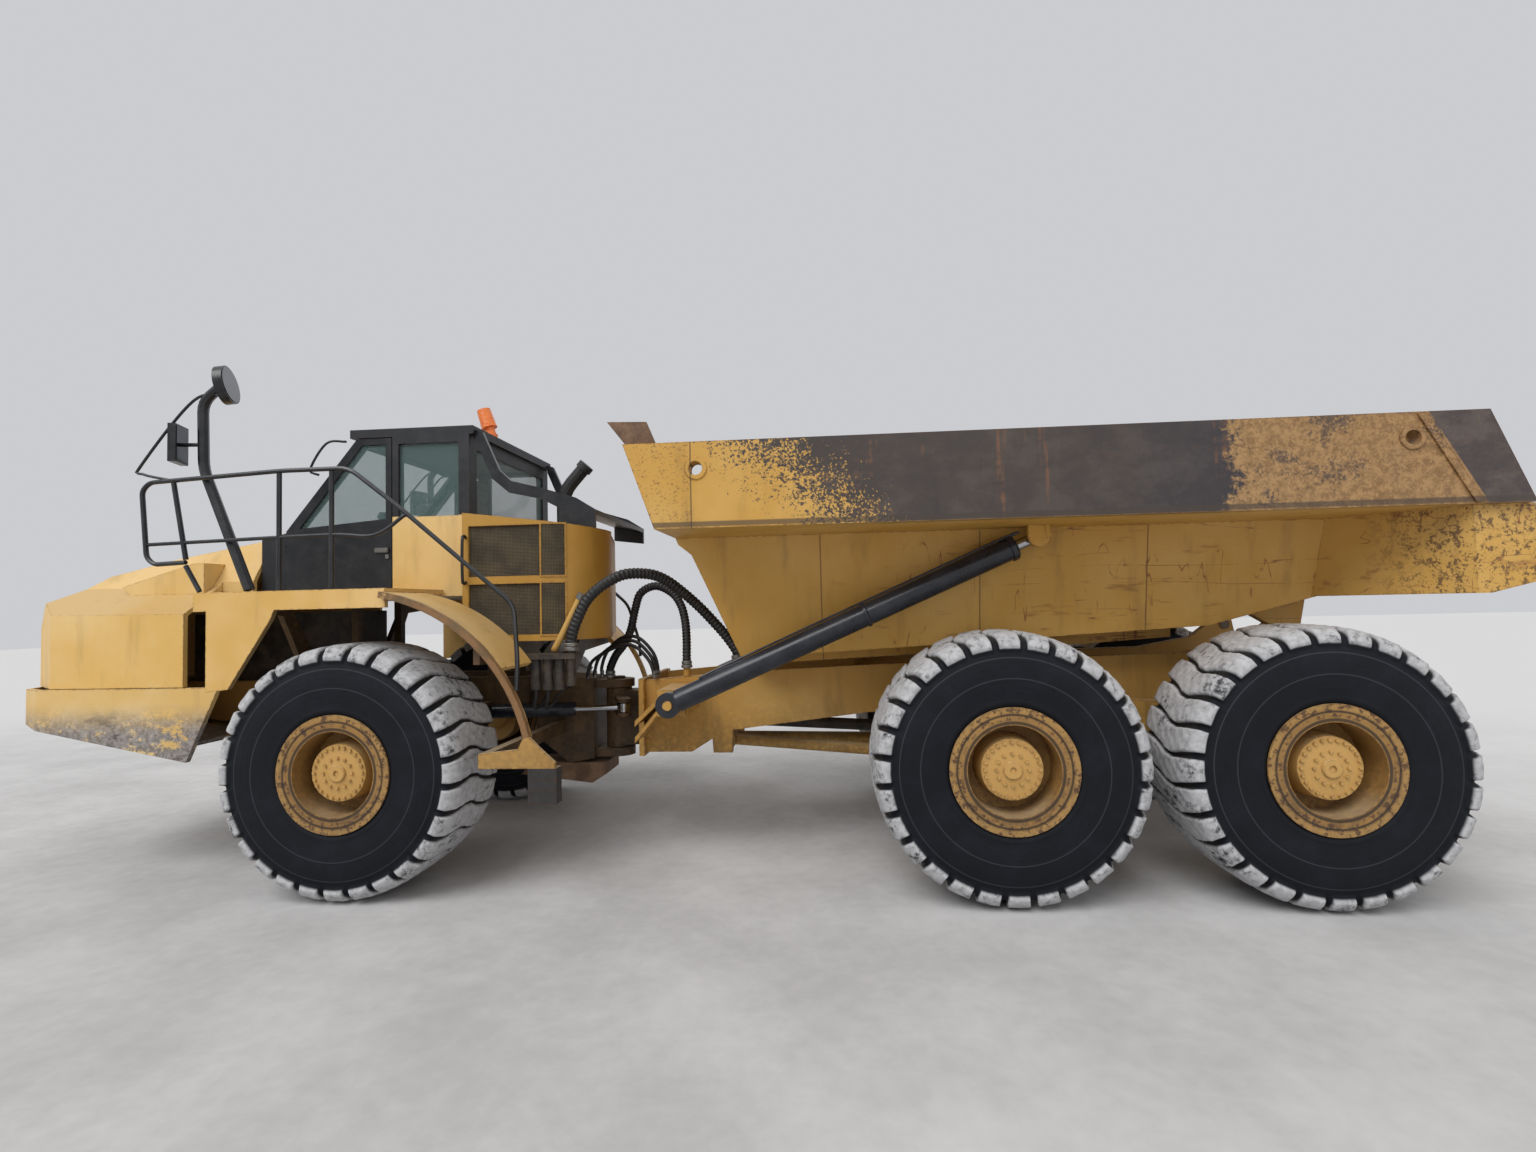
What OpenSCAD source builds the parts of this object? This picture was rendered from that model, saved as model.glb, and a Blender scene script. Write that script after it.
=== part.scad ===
// Articulated dump truck with a two-axle rear bogie. Millimetres, +Z up, front towards -X.
// Heights are from the ground and lengths are from the front axle, unless a comment says otherwise.

/* [Running gear] */
// Front axle to the foremost face of the bumper
front_overhang = 3150; // [2900:10:3400]
// Front axle to middle axle
wheelbase = 4640; // [4400:10:4900]
// Middle axle to rear axle
bogie_spread = 1966; // [1900:2:2050]
// Rear axle to the tip of the tail
rear_overhang = 1320; // [1200:10:1500]
// Distance between the centre planes of the tyres
track = 2687; // [2600:1:2750]
// Radius of a tyre over its lugs
tyre_radius = 905; // [880:1:940]
// Widest section of a tyre
tyre_width = 744; // [700:2:770]
// Height of a lug above the casing
lug_height = 45; // [25:1:60]
// Lugs round a tyre
lug_count = 28; // [22:1:32]
// Radius of the seat of the tyre's bead on the rim
bead_radius = 318; // [300:1:330]
// Radius of the flange of the rim
flange_radius = 415; // [400:1:430]
// Radius of the hub cap of a wheel
hub_radius = 220; // [180:5:240]
// Radius of the axle tubes
axle_radius = 115; // [90:1:125]

/* [Front frame] */
// Outer face of the rails of the front frame, from the centre
front_rail_y = 360; // [320:5:380]
// Thickness of the rails of both frames
rail_wall = 70; // [40:2:90]
// Top of the rails of the front frame
front_rail_top = 1440; // [1400:5:1470]
// Distance from the front axle to the pin of the steering hitch
hitch_x = 1550; // [1500:5:1600]
// Radius of the vertical pin barrel of the hitch
hitch_radius = 95; // [80:1:110]
// Half width of the bumper and of the hood
bumper_y = 1250; // [1150:10:1300]
// Top of the bumper
bumper_top = 1475; // [1440:5:1500]
// Thickness of the plates of the bumper, hood and fenders
skin = 40; // [25:1:50]

/* [Cab and cooling enclosure] */
// Half width of the cab shell under its side panels
cab_y = 800; // [740:5:840]
// Thickness of the side panels and of the door
door_wall = 44; // [30:1:50]
// Thickness of the walls of the cab shell
cab_wall = 40; // [30:1:60]
// Underside of the cab
cab_floor = 2150; // [2130:5:2190]
// Sill of the side windows
sill_z = 2740; // [2700:5:2800]
// Underside of the roof
roof_z = 3480; // [3420:5:3520]
// Thickness of the roof
roof_wall = 70; // [50:5:90]
// Half width of the cooling enclosure behind the cab
cooler_y = 1050; // [980:5:1080]
// Radius of the rear corners of the cooling enclosure
cooler_corner = 440; // [300:10:450]
// Thickness of window glass
glass_wall = 10; // [6:1:14]

/* [Rails and mirrors] */
// Radius of the handrail tubes
rail_radius = 17; // [14:1:22]
// Distance of the handrails from the centre
rail_y = 1615; // [1580:5:1640]
// Outer edge of the deck over the front wheels
deck_y = 1650; // [1620:5:1680]
// Top of the deck
deck_top = 2200; // [2170:5:2230]

/* [Rear frame and bed] */
// Outer face of the rails of the rear frame, from the centre
rear_rail_y = 450; // [420:5:480]
// Half width of the bed over its top band
bed_y = 1700; // [1640:5:1720]
// Half width of the lower sides at their top
bed_side_y = 990; // [940:5:1000]
// Half width of the floor
bed_floor_y = 820; // [780:5:860]
// Underside of the top band
band_z = 2550; // [2530:5:2600]
// Top of the bed
bed_top = 3140; // [3080:5:3200]
// Thickness of the floor and of the lower sides
bed_wall = 50; // [30:2:60]
// Distance of the bed's hinge pin from the front axle
bed_pin_x = 7050; // [6950:5:7100]
// Height of the bed's hinge pin
bed_pin_z = 1750; // [1700:5:1800]
// Radius of the bed's hinge pin
bed_pin_radius = 42; // [35:1:50]
// Radius of the bore of the lifting eyes in the top band
eye_bore = 45; // [30:1:60]

/* [Cylinders] */
// Distance of the hoist cylinders from the centre
hoist_y = 1100; // [1080:2:1130]
// Radius of the barrel of a hoist cylinder
hoist_radius = 84; // [70:1:90]
// Radius of the rod of a hoist cylinder
hoist_rod_radius = 42; // [30:1:44]
// Radius of the barrel of a steering cylinder
steer_radius = 58; // [45:1:60]
// Radius of the rod of a steering cylinder
steer_rod_radius = 26; // [20:1:32]

/* [Fits] */
// Gap between a pin and its bore
pin_gap = 0.5; // [0.3:0.1:1]
// Gap at which a piece sits on what carries it
seat_gap = 0.3; // [0.2:0.1:0.5]
// Gap between pieces that move past each other
move_gap = 8; // [5:1:12]

/* [Hidden] */
$fn = 48;

// Places of the axles, and the shift that centres the truck over the origin
middle_x = wheelbase;
rear_x = wheelbase + bogie_spread;
tail_x = rear_x + rear_overhang;
front_axle_x = (front_overhang - tail_x) / 2;
hub_z = tyre_radius;
engine_z = 1300;
wheel_y = track / 2;
half_tyre = tyre_width / 2;
axle_end_y = wheel_y - half_tyre + 5 - seat_gap;

// Pins of the cylinders: x, distance from the centre, z
steer_z = 1160;
steer_pin_radius = 30;
steer_base = [500, 500, steer_z];
steer_eye = [hitch_x + 130, 310, steer_z];
hoist_base = [2250, hoist_y, 1280];
hoist_eye = [5000, hoist_y, 2470];

module at_axle() { translate([front_axle_x, 0, 0]) children(); }
module both_sides() { children(); mirror([0, 1, 0]) children(); }
// An XZ outline made into a plate between two values of Y
module xz_plate(y_from, y_to) {
    translate([0, y_to, 0]) rotate([90, 0, 0]) linear_extrude(y_to - y_from) children();
}
// A YZ section run between two values of X
module along_x(x_from, x_to) {
    translate([x_from, 0, 0]) rotate([90, 0, 90]) linear_extrude(x_to - x_from) children();
}
// A cylinder along Y, centred on y_mid
module y_cylinder(p, r, y_from, y_to) {
    translate([p[0], y_to, p[1]]) rotate([90, 0, 0]) cylinder(h = y_to - y_from, r = r);
}
// A round bar from one point to another
module bar(a, b, r) {
    d = b - a;
    translate(a) rotate([0, acos(d[2] / norm(d)), atan2(d[1], d[0])]) cylinder(h = norm(d), r = r);
}
// A route whose inner corners are rounded off, b being a corner between a and c
function unit(v) = v / norm(v);
function bend(a, b, c, r) = let (s = min(r, 0.45 * norm(a - b), 0.45 * norm(c - b)), p = b + unit(a - b) * s,
    q = b + unit(c - b) * s) [for (t = [0 : 0.25 : 1]) (1 - t) * (1 - t) * p + 2 * t * (1 - t) * b + t * t * q];
function rounded(points, r) = [points[0], for (i = [1 : 1 : len(points) - 2]) each bend(points[i - 1], points[i],
    points[i + 1], r), points[len(points) - 1]];
// A tube of n sides swept along a route that never runs along the side vector
function ring(p, t, r, n, side) = let (s = unit(cross(t, side)), u = cross(t, s))
    [for (k = [0 : n - 1]) p + r * (cos(360 * k / n) * s + sin(360 * k / n) * u)];
module sweep(route, r, n = 10, side = [0, 1, 0.01]) {
    m = len(route);
    tangents = [for (i = [0 : m - 1]) unit(route[min(i + 1, m - 1)] - route[max(i - 1, 0)])];
    points = [for (i = [0 : m - 1]) each ring(route[i], tangents[i], r, n, side)];
    sides = [for (i = [0 : m - 2]) for (k = [0 : n - 1])
        [(i + 1) * n + k, (i + 1) * n + (k + 1) % n, i * n + (k + 1) % n, i * n + k]];
    first = [for (k = [0 : n - 1]) k];
    last = [for (k = [0 : n - 1]) m * n - 1 - k];
    polyhedron(points, concat([first], sides, [last]));
}
module tube(points, r, bend_r = 80, n = 8) sweep(rounded(points, bend_r), r, n);

// Front frame

// The bar that carries the steps, and the inner face of the step plates
step_bar_x = 1050;
step_y = deck_y + 20;
module front_frame() at_axle() color("goldenrod") {
    nose_y = 200;
    difference() {
        union() {
            both_sides() xz_plate(front_rail_y - rail_wall, front_rail_y) polygon([[-front_overhang + skin + seat_gap, 1290],
                [-front_overhang + skin + seat_gap, front_rail_top], [850, front_rail_top], [850, 1085], [-2000, 1085]]);
            for (x = [-2900, -700, 780])
                translate([x, -front_rail_y, 1300]) cube([70, 2 * front_rail_y, front_rail_top - 1300]);
            for (x = [-2200, -1000]) translate([x, -front_rail_y, engine_z - 120]) cube([90, 2 * front_rail_y, 120]);
            xz_plate(-nose_y, nose_y) polygon([[850, 1085], [850, front_rail_top], [hitch_x - 175, 1400],
                [hitch_x - 175, 700], [1150, 660], [850, 900]]);
            for (x = [-780, 480]) both_sides() translate([x, front_rail_y - rail_wall, front_rail_top - 1])
                cube([rail_wall, rail_wall, cab_floor - seat_gap - front_rail_top + 1]);
            both_sides() {
                along_x(-1050, -1000) polygon([[front_rail_y - 1, 1300], [front_rail_y - 1, 1440],
                    [cab_y + door_wall + 20, deck_top - skin - seat_gap], [deck_y - skin - 5, deck_top - skin - seat_gap],
                    [deck_y - skin - 5, 2080], [900, 2020], [500, 1300]]);
                along_x(950, 1000) polygon([[nose_y - 1, 1300], [nose_y - 1, 1440], [600, cooler_floor - seat_gap],
                    [cooler_y, cooler_floor - seat_gap], [1560, cooler_floor - seat_gap], [1560, 1640], [700, 1600],
                    [300, 1300]]);
                translate([step_bar_x, nose_y - 1, 940]) cube([70, step_y - nose_y + 1 - seat_gap, 100]);
            }
            for (z = [700, 1310]) translate([0, 0, z]) {
                translate([hitch_x - 200, -140, 0]) cube([200, 280, 70]);
                translate([hitch_x, 0, 0]) cylinder(h = 70, r = 140);
            }
            for (x = [-110, 110]) translate([x - 40, -front_rail_y, 1085 + 100]) cube([80, 2 * front_rail_y, 80]);
        }
        translate([hitch_x, 0, 0]) cylinder(h = 2000, r = 60 + pin_gap);
    }
    fitting(small_route[0], 1375, 30);
    both_sides() {
        for (z = [steer_z - 75, steer_z + 45]) translate([steer_base[0] - 70, front_rail_y, z])
            cube([105, steer_base[1] - front_rail_y + 30, 30]);
        translate([steer_base[0], steer_base[1], steer_z - 75]) cylinder(h = 150, r = steer_pin_radius);
        translate([-60, front_rail_y, 1085]) cube([120, 190, 40]);
    }
}

module bumper_outline(o) {
    polygon([[-front_overhang + o, bumper_top - 0], [-front_overhang + o, 1225 + o],
        [-1520 - o, 900 + o], [-1257 - o, bumper_top - 0]]);
}
module bumper_plan(o) {
    polygon([[-1200, -bumper_y + o], [-2800, -bumper_y + o], [-3000, -1150 + o], [-front_overhang + o, -850],
        [-front_overhang + o, 850], [-3000, 1150 - o], [-2800, bumper_y - o], [-1200, bumper_y - o]]);
}
module bumper_form(o) intersection() {
    xz_plate(-bumper_y, bumper_y) bumper_outline(o);
    translate([0, 0, 800]) linear_extrude(800) bumper_plan(o);
}
module bumper() at_axle() color("goldenrod") {
    bumper_shell();
    both_sides() {
        y_cylinder(hood_hinge, hinge_radius, 500, 560);
        y_cylinder(hood_hinge, hinge_pin_radius, 425, 505);
        translate([hood_hinge[0] - hinge_radius, 500, bumper_top - 1])
            cube([2 * hinge_radius, 60, hood_hinge[1] - bumper_top + 1]);
    }
}
module bumper_shell() difference() {
    bumper_form(0);
    union() {
        bumper_form(skin);
        translate([-1800, -bumper_y + skin, 800]) cube([800, 2 * (bumper_y - skin), 800]);
    }
    for (y = [-840, 560]) translate([-front_overhang - 1, y, 1290]) cube([600, 280, 110]);
}
module headlamps() at_axle() color("white") both_sides()
    translate([-front_overhang + 8, 560 + seat_gap, 1290 + seat_gap])
        cube([24, 280 - 2 * seat_gap, 110 - 2 * seat_gap]);

module engine_block() at_axle() color("dimgray") {
    translate([-2350, -280, engine_z + seat_gap]) cube([1500, 560, 750]);
}

module front_axle() at_axle() color("goldenrod") {
    y_cylinder([0, hub_z], axle_radius, -axle_end_y, axle_end_y);
    difference() {
        translate([0, 0, hub_z]) sphere(r = 230);
        translate([-300, -300, hub_z + 170]) cube([600, 600, 200]);
    }
    both_sides() y_cylinder([0, hub_z], 230, 800, axle_end_y);
    both_sides() translate([0, front_rail_y + 100, hub_z]) cylinder(h = 1085 - seat_gap - hub_z, r = 60);
}

arch = [100, 850];
arch_radius = 1300;
// A point at a radius and an angle from the centre of the wheel arch
function arch_at(r, a) = [arch[0] + r * cos(a), arch[1] + r * sin(a)];
// A length of the curved fender, between two angles and reaching in from the outer edge
module arch_band(from, to, width) translate([arch[0], deck_y + 50, arch[1]]) rotate([90, 0, 0]) rotate([0, 0, from])
    rotate_extrude(angle = to - from, $fn = 96)
        translate([arch_radius, 0]) square([45, width]);
module fenders() at_axle() color("goldenrod") both_sides() {
    inner_y = cab_y + door_wall + 16;
    translate([-1100, inner_y, deck_top - skin]) cube([1450, deck_y - inner_y, skin]);
    translate([-1100, deck_y - skin, 2062]) cube([1450, skin, deck_top - 2062 - skin]);
    arch_band(35, 80, 565);
    arch_band(13, 35, 50);
    xz_plate(deck_y - skin, deck_y) polygon([[-1000, 2062], [-1000, 1480], [-830, 1500], [-510, 1990], [-480, 2062]]);
}

// Cab

cab_front = -1020;
cab_rear = 566;
roof_front = -400;
roof_rear = 600;
module cab_outline(o) polygon([[cab_front + o, cab_floor + o * 1.25], [cab_front + o, sill_z - 20 - o * 0.4],
    [roof_front + o * 0.55, roof_z - o * 0.75], [cab_rear - o, roof_z - o * 0.75], [cab_rear - o, cab_floor + o * 1.25]]);
module on_windshield() {
    dx = roof_front - cab_front;
    dz = roof_z - sill_z + 20;
    translate([cab_front, 0, sill_z - 20]) rotate([0, -atan2(dz, dx), 0]) children();
}
windshield_length = norm([roof_front - cab_front, roof_z - sill_z + 20]);
door_rear = -100;
// Outline of the door, o inside its edge
module door_outline(o) polygon([[cab_front + o, cab_floor + 60 + o], [cab_front + o, sill_z - 20 - o * 0.4],
    [roof_front + o * 0.55, roof_z - move_gap - o], [door_rear - o, roof_z - move_gap - o],
    [door_rear - o, cab_floor + 60 + o]]);
module door_window(o) polygon([[cab_front + 115 + o, sill_z + o], [roof_front + 45 + o * 0.55, roof_z - 60 - o],
    [door_rear - 50 - o, roof_z - 60 - o], [door_rear - 50 - o, sill_z + 60 + o]]);
module rear_window(o) polygon([[door_rear + 60 + o, sill_z + 70 + o], [door_rear + 60 + o, roof_z - 60 - o],
    [cab_rear - 90 - o, roof_z - 60 - o], [cab_rear - 90 - o, sill_z + 70 + o]]);
module side_panel_outline() polygon([[door_rear + move_gap, cab_floor], [door_rear + move_gap, roof_z],
    [cab_rear, roof_z], [cab_rear, cab_floor]]);

module cab_shell() at_axle() color("dimgray") {
    door_knuckles();
    difference() {
        union() {
            xz_plate(-cab_y, cab_y) cab_outline(0);
            xz_plate(-cab_y - door_wall, -cab_y) side_panel_outline();
            xz_plate(cab_y, cab_y + door_wall) cab_outline(0);
            xz_plate(-cab_y, cab_y) polygon([[-1270, cab_floor], [-1270, 2660], [cab_front, sill_z - 20],
                [cab_front, cab_floor]]);
            translate([roof_front - 60, -cab_y - door_wall, roof_z]) cube([roof_rear - roof_front + 60,
                2 * (cab_y + door_wall), roof_wall]);
        }
        xz_plate(-cab_y + cab_wall, cab_y - cab_wall) cab_outline(cab_wall);
        xz_plate(-cab_y - 1, -cab_y + cab_wall + 1) door_outline(70);
        xz_plate(cab_y - cab_wall - 1, cab_y + door_wall + 1) door_window(0);
        xz_plate(-cab_y - door_wall - 1, cab_y + door_wall + 1) rear_window(0);
        on_windshield() translate([60, -cab_y + 90, -200]) cube([windshield_length - 120, 2 * cab_y - 180, 400]);
        translate([cab_rear - cab_wall - 1, -cab_y + 90, sill_z + 70]) cube([cab_wall + 2, 2 * cab_y - 180, 560]);
    }
}
module cab_glass() at_axle() color("lightblue") {
    xz_plate(cab_y + 10, cab_y + 10 + glass_wall) door_window(seat_gap);
    for (y = [-cab_y - 20, cab_y + 10]) xz_plate(y, y + glass_wall) rear_window(seat_gap);
    on_windshield() translate([60 + seat_gap, -cab_y + 90 + seat_gap, -30])
        cube([windshield_length - 120 - 2 * seat_gap, 2 * cab_y - 180 - 2 * seat_gap, glass_wall]);
    translate([cab_rear - 25, -cab_y + 90 + seat_gap, sill_z + 70 + seat_gap])
        cube([glass_wall, 2 * cab_y - 180 - 2 * seat_gap, 560 - 2 * seat_gap]);
}
module cab_interior() at_axle() color("black") {
    z = cab_floor + cab_wall * 1.25 + seat_gap;
    translate([-260, -200, z]) cube([400, 400, 300]);
    translate([-300, -250, z + 300]) cube([500, 500, 120]);
    translate([120, -240, z + 420]) cube([110, 480, roof_z - 240 - z - 420]);
    translate([-900, -500, z]) cube([200, 1000, 520]);
    bar([-700, 0, z + 460], [-560, 0, z + 620], 25);
    translate([-560, 0, z + 620]) rotate([0, 41, 0]) difference() {
        cylinder(h = 30, r = 210);
        translate([0, 0, 12]) cylinder(h = 30, r = 180);
    }
}
// Two hinges at the front edge of the door: the cab's knuckle below and the door's above
door_pin = [cab_front - 18, -cab_y - 22];
door_hinges = [cab_floor + 130, cab_floor + 450];
module door() at_axle() color("dimgray") {
    difference() {
        xz_plate(-cab_y - door_wall, -cab_y - 5) door_outline(0);
        xz_plate(-cab_y - door_wall - 1, -cab_y) door_window(0);
    }
    for (z = door_hinges) difference() {
        union() {
            translate([door_pin[0], door_pin[1], z]) cylinder(h = 60, r = hinge_radius);
            translate([door_pin[0], -cab_y - door_wall, z]) cube([28, door_wall - 10, 60]);
        }
        translate([door_pin[0], door_pin[1], z - 1]) cylinder(h = 70, r = hinge_pin_radius + pin_gap);
    }
}
module door_knuckles() for (z = door_hinges) {
    translate([door_pin[0], door_pin[1], z - 65]) cylinder(h = 60, r = hinge_radius);
    translate([door_pin[0], door_pin[1], z - 10]) cylinder(h = 75, r = hinge_pin_radius);
    translate([door_pin[0] - hinge_radius, door_pin[1], z - 65]) cube([2 * hinge_radius - 4, 23, 60]);
}
module door_glass() at_axle() color("lightblue")
    xz_plate(-cab_y - 30, -cab_y - 30 + glass_wall) door_window(seat_gap);

// Cooling enclosure

cooler_front = 610;
cooler_rear = 1660;
cooler_floor = 1780;
cooler_rear_right = 1220;
// Heights of the two screens on each side, and their length on the left and on the right
screen_bands = [[1830, 2230], [2290, 2690]];
function screen_length(side) = side < 0 ? 640 : 500;
// Plan of the enclosure: its left rear corner is rounded and its rear face slants forwards to the right
module cooler_plan() {
    r = cooler_corner;
    polygon([[cooler_front, -cooler_y], [cooler_rear - r, -cooler_y], [cooler_rear, r - cooler_y],
        [cooler_rear_right, cooler_y], [cooler_front, cooler_y]]);
    translate([cooler_rear - r, r - cooler_y]) circle(r = r);
}
module cooling_enclosure() at_axle() color("goldenrod") difference() {
    translate([0, 0, cooler_floor]) linear_extrude(1100) cooler_plan();
    xz_plate(-cooler_y - 1, cooler_y + 1) polygon([[cooler_front - 1, cooler_top(cooler_front - 1)],
        [cooler_rear + 1, cooler_top(cooler_rear + 1)], [cooler_rear + 1, 3000], [cooler_front - 1, 3000]]);
    for (side = [-1, 1]) for (z = screen_bands)
        translate([cooler_front + 50, side < 0 ? -cooler_y - 1 : cooler_y - 60, z[0]])
            cube([screen_length(side), 61, z[1] - z[0]]);
}
module cooling_screens() at_axle() color("dimgray") for (side = [-1, 1]) for (z = screen_bands)
    translate([cooler_front + 50 + seat_gap, side * (cooler_y - 24) - 6, z[0] + seat_gap])
        cube([screen_length(side) - 2 * seat_gap, 12, z[1] - z[0] - 2 * seat_gap]);

// Height of the sloping top of the cooling enclosure at x
function cooler_top(x) = 2800 - 132 * (x - cooler_front) / (cooler_rear - cooler_front);
module rear_cowl() at_axle() color("black") {
    both_sides() xz_plate(cab_y - skin, cab_y) polygon([[roof_rear + seat_gap, 3520], [660, 3500], [800, 3180],
        [900, 3085], [1150, 3020], [1440, 2930], [1600, 2830], [1600, cooler_top(1600) + seat_gap],
        [1300, cooler_top(1300) + seat_gap], [1300, 2850], [1150, 2930], [880, 2990], [740, 3110],
        [roof_rear + seat_gap, 3440]]);
    xz_plate(-cab_y + skin, cab_y - skin) polygon([[1300, 2850], [1600, 2790], [1600, 2830], [1300, 2890]]);
}

module intake_pipe() at_axle() color("black") {
    tube([[1010, 100, cooler_top(1010 - 62) + seat_gap], [1010, 100, 3120], [1200, 100, 3330]], 62, 150, 12);
    translate([1200, 100, 3330]) rotate([0, 42, 0]) cylinder(h = 60, r = 75);
}
module beacon() at_axle() color("orange") {
    translate([530, -350, roof_z + roof_wall + seat_gap]) {
        cylinder(h = 40, r = 50);
        translate([0, 0, 30]) rotate([0, -18, 0]) {
            cylinder(h = 80, r = 42);
            translate([0, 0, 70]) cylinder(h = 170, r1 = 68, r2 = 60);
        }
    }
}

// The hood tilts forwards on two hinges over the front edge of the bumper
hood_front = 40 - front_overhang;
hood_hinge = [hood_front - 20, bumper_top + 25];
hinge_radius = 15;
hinge_pin_radius = 8;
module hood_plan(o) polygon([[-1280, -880 + o], [-1550, -880 + o], [-1550, -bumper_y + o], [-2700, -1230 + o],
    [hood_front + o, -950], [hood_front + o, 950], [-2700, 1230 - o], [-1550, bumper_y - o], [-1550, 880 - o], [-1280, 880 - o]]);
module hood_profile(o) polygon([[hood_front + o, 1480], [hood_front + o, 1950], [-2950 + o * 0.7, 2150 - o],
    [-2600, 2385 - o], [-2090, 2520 - o], [-1280 + (o > 0 ? 1 : 0), 2680 - o], [-1280 + (o > 0 ? 1 : 0), 1480]]);
module hood_section(o) polygon([[-bumper_y + o, 1480], [-bumper_y + o, 2050 - o * 0.3], [-900 + o * 0.5, 2280 - o],
    [-640, 2700 - o], [640, 2700 - o], [900 - o * 0.5, 2280 - o], [bumper_y - o, 2050 - o * 0.3], [bumper_y - o, 1480]]);
module hood_form(o) difference() {
    intersection() {
        translate([0, 0, 1480 - o]) linear_extrude(1300) hood_plan(o);
        xz_plate(-1400, 1400) hood_profile(o);
        along_x(-3200, -1200) hood_section(o);
    }
}
// Raised shoulders on both flanks of the hood, in front of the cab
module hood_shoulders() both_sides() xz_plate(700, 1000)
    polygon([[-2330, 2285], [-1700, 2465], [-1610, 2465], [-1610, 2095], [-2130, 2095]]);
module hood() at_axle() color("goldenrod") difference() {
    union() {
        difference() {
            union() {
                hood_form(0);
                hood_shoulders();
            }
            hood_form(skin);
        }
        both_sides() {
            y_cylinder(hood_hinge, hinge_radius, 430, 495);
            translate([hood_hinge[0], 430, hood_hinge[1] - hinge_radius]) cube([21, 65, 2 * hinge_radius]);
        }
    }
    both_sides() y_cylinder(hood_hinge, hinge_pin_radius + pin_gap, 420, 500);
    translate([-1560 - skin, -bumper_y + skin, 1470]) cube([400, 2 * (bumper_y - skin), 560]);
    translate([-1300 - skin, -840, 1470]) cube([400, 1680, 760]);
}

// Rails, mirrors, steps

// Height of the top rail of the front loop at x
function top_rail(x) = 3020 + 50 * (x + 1500) / 1050;
module handrails() at_axle() color("black") both_sides() {
    y = rail_y;
    gap = rail_radius + seat_gap;
    steep_end = gap + 3;
    foot = arch_at(arch_radius + 45 + gap + 1, 27);
    // Behind the deck the rail bends in, clear of the bed at full lock
    tube([[-1190, y, 2425], [-1440, y, 2415], [-1500, y, 2470], [-1540, y, 2960], [-1480, y, 3020],
        [-450, y, 3070], [60, y, 3070], [435, y - 35, 2764], [1225, y - 115, 2060], [1310, y + 25, 1650],
        [foot[0], deck_y + 25, foot[1]]], rail_radius);
    tube([[-1290, y, top_rail(-1290) - steep_end], [-1190, y, 2425 + steep_end]], rail_radius);
    tube([[-1190, y, 2425 - gap - rail_radius / 2], [-1080, y, deck_top + seat_gap + rail_radius / 2]], rail_radius);
    for (x = [-470, -70]) translate([x, y, deck_top + seat_gap])
        cylinder(h = (x < -450 ? top_rail(x) : 3070) - rail_radius - 2 * seat_gap - deck_top, r = rail_radius);
}
module mirrors() at_axle() color("black") both_sides() {
    y = rail_y - 60;
    tube([[-745, y, deck_top + 14], [-1110, y, 3120], [-1120, y, 3620], [-960, y, 3745]], 36);
    translate([-975, y, 3735]) rotate([0, 80, -18]) cylinder(h = 60, r = 140);
    bar([-1115, y, 3300], [-1290, y + 20, 3300], 14);
    translate([-1290, y + 20, 3160]) rotate([0, 0, -20]) translate([-25, -80, 0]) cube([50, 190, 280]);
}
module steps() at_axle() color("goldenrod") both_sides() {
    low = [0, -seat_gap];
    xz_plate(step_y, deck_y + 50) polygon([arch_at(arch_radius, 13) + low, arch_at(arch_radius + 45, 13) + low,
        [1480, 1080], [1590, 980], [1590, 940], [step_bar_x, 940], [step_bar_x, 1040], [1330, 1070]]);
    translate([1400, deck_y - 50, 700]) cube([200, 100, 240 - seat_gap]);
}
module valve_bank() at_axle() color("dimgray") {
    translate([1000 + seat_gap, -1110, 1640]) cube([530, 160, 40]);
    for (x = [1190, 1285, 1380]) translate([x, -1030, 1400]) cylinder(h = 265, r = 42);
    fitting(large_route[0], 1430, 36);
}
module sump_guard() at_axle() color("saddlebrown") xz_plate(-190, 190)
    polygon([[700, 560], [1350, 480], [1480, 560], [1480, 660 - seat_gap], [800, 660 - seat_gap]]);

// Wheels

// One lug: a bar that bends twice on its way across the tread
module lug() intersection() {
    edge = half_tyre - 37;
    translate([0, 0, tyre_radius - lug_height - 20]) linear_extrude(lug_height + 20)
        polygon([[-62, -edge], [70, -edge], [112, -130], [34, 40], [-2, edge], [-134, edge], [-92, 130], [-14, -40]]);
    rotate([90, 0, 0]) cylinder(h = tyre_width, r = tyre_radius, center = true, $fn = 96);
}
module tyre() color("black") {
    casing = tyre_radius - lug_height;
    bore = bead_radius + seat_gap;
    lip = flange_radius + 5;
    side = [[casing, half_tyre - 70], [casing - 60, half_tyre - 20], [620, half_tyre], [lip, half_tyre - 19],
        [bore, half_tyre - 31], [bore, 300]];
    rotate([90, 0, 0]) rotate_extrude($fn = 32) polygon(concat(side, [[casing - 90, 250], [casing - 90, -250]],
        [for (i = [len(side) - 1 : -1 : 0]) [side[i][0], -side[i][1]]]));
    for (i = [0 : lug_count - 1]) rotate([0, i * 360 / lug_count, 0]) lug();
}
module rim() color("goldenrod") rotate([90, 0, 0]) rotate_extrude() {
    polygon([[0, -half_tyre + 5], [150, -half_tyre + 5], [150, 60], [bead_radius - 20, 60],
        [bead_radius - 20, -half_tyre + 10], [flange_radius, -half_tyre + 5], [flange_radius, -half_tyre + 18],
        [bead_radius, -half_tyre + 30], [bead_radius, half_tyre - 30], [flange_radius, half_tyre - 18],
        [flange_radius, half_tyre - 5], [bead_radius - 20, half_tyre - 10], [bead_radius - 20, 110],
        [hub_radius, 110], [hub_radius - 20, half_tyre - 80], [0, half_tyre - 60]]);
}
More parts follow.
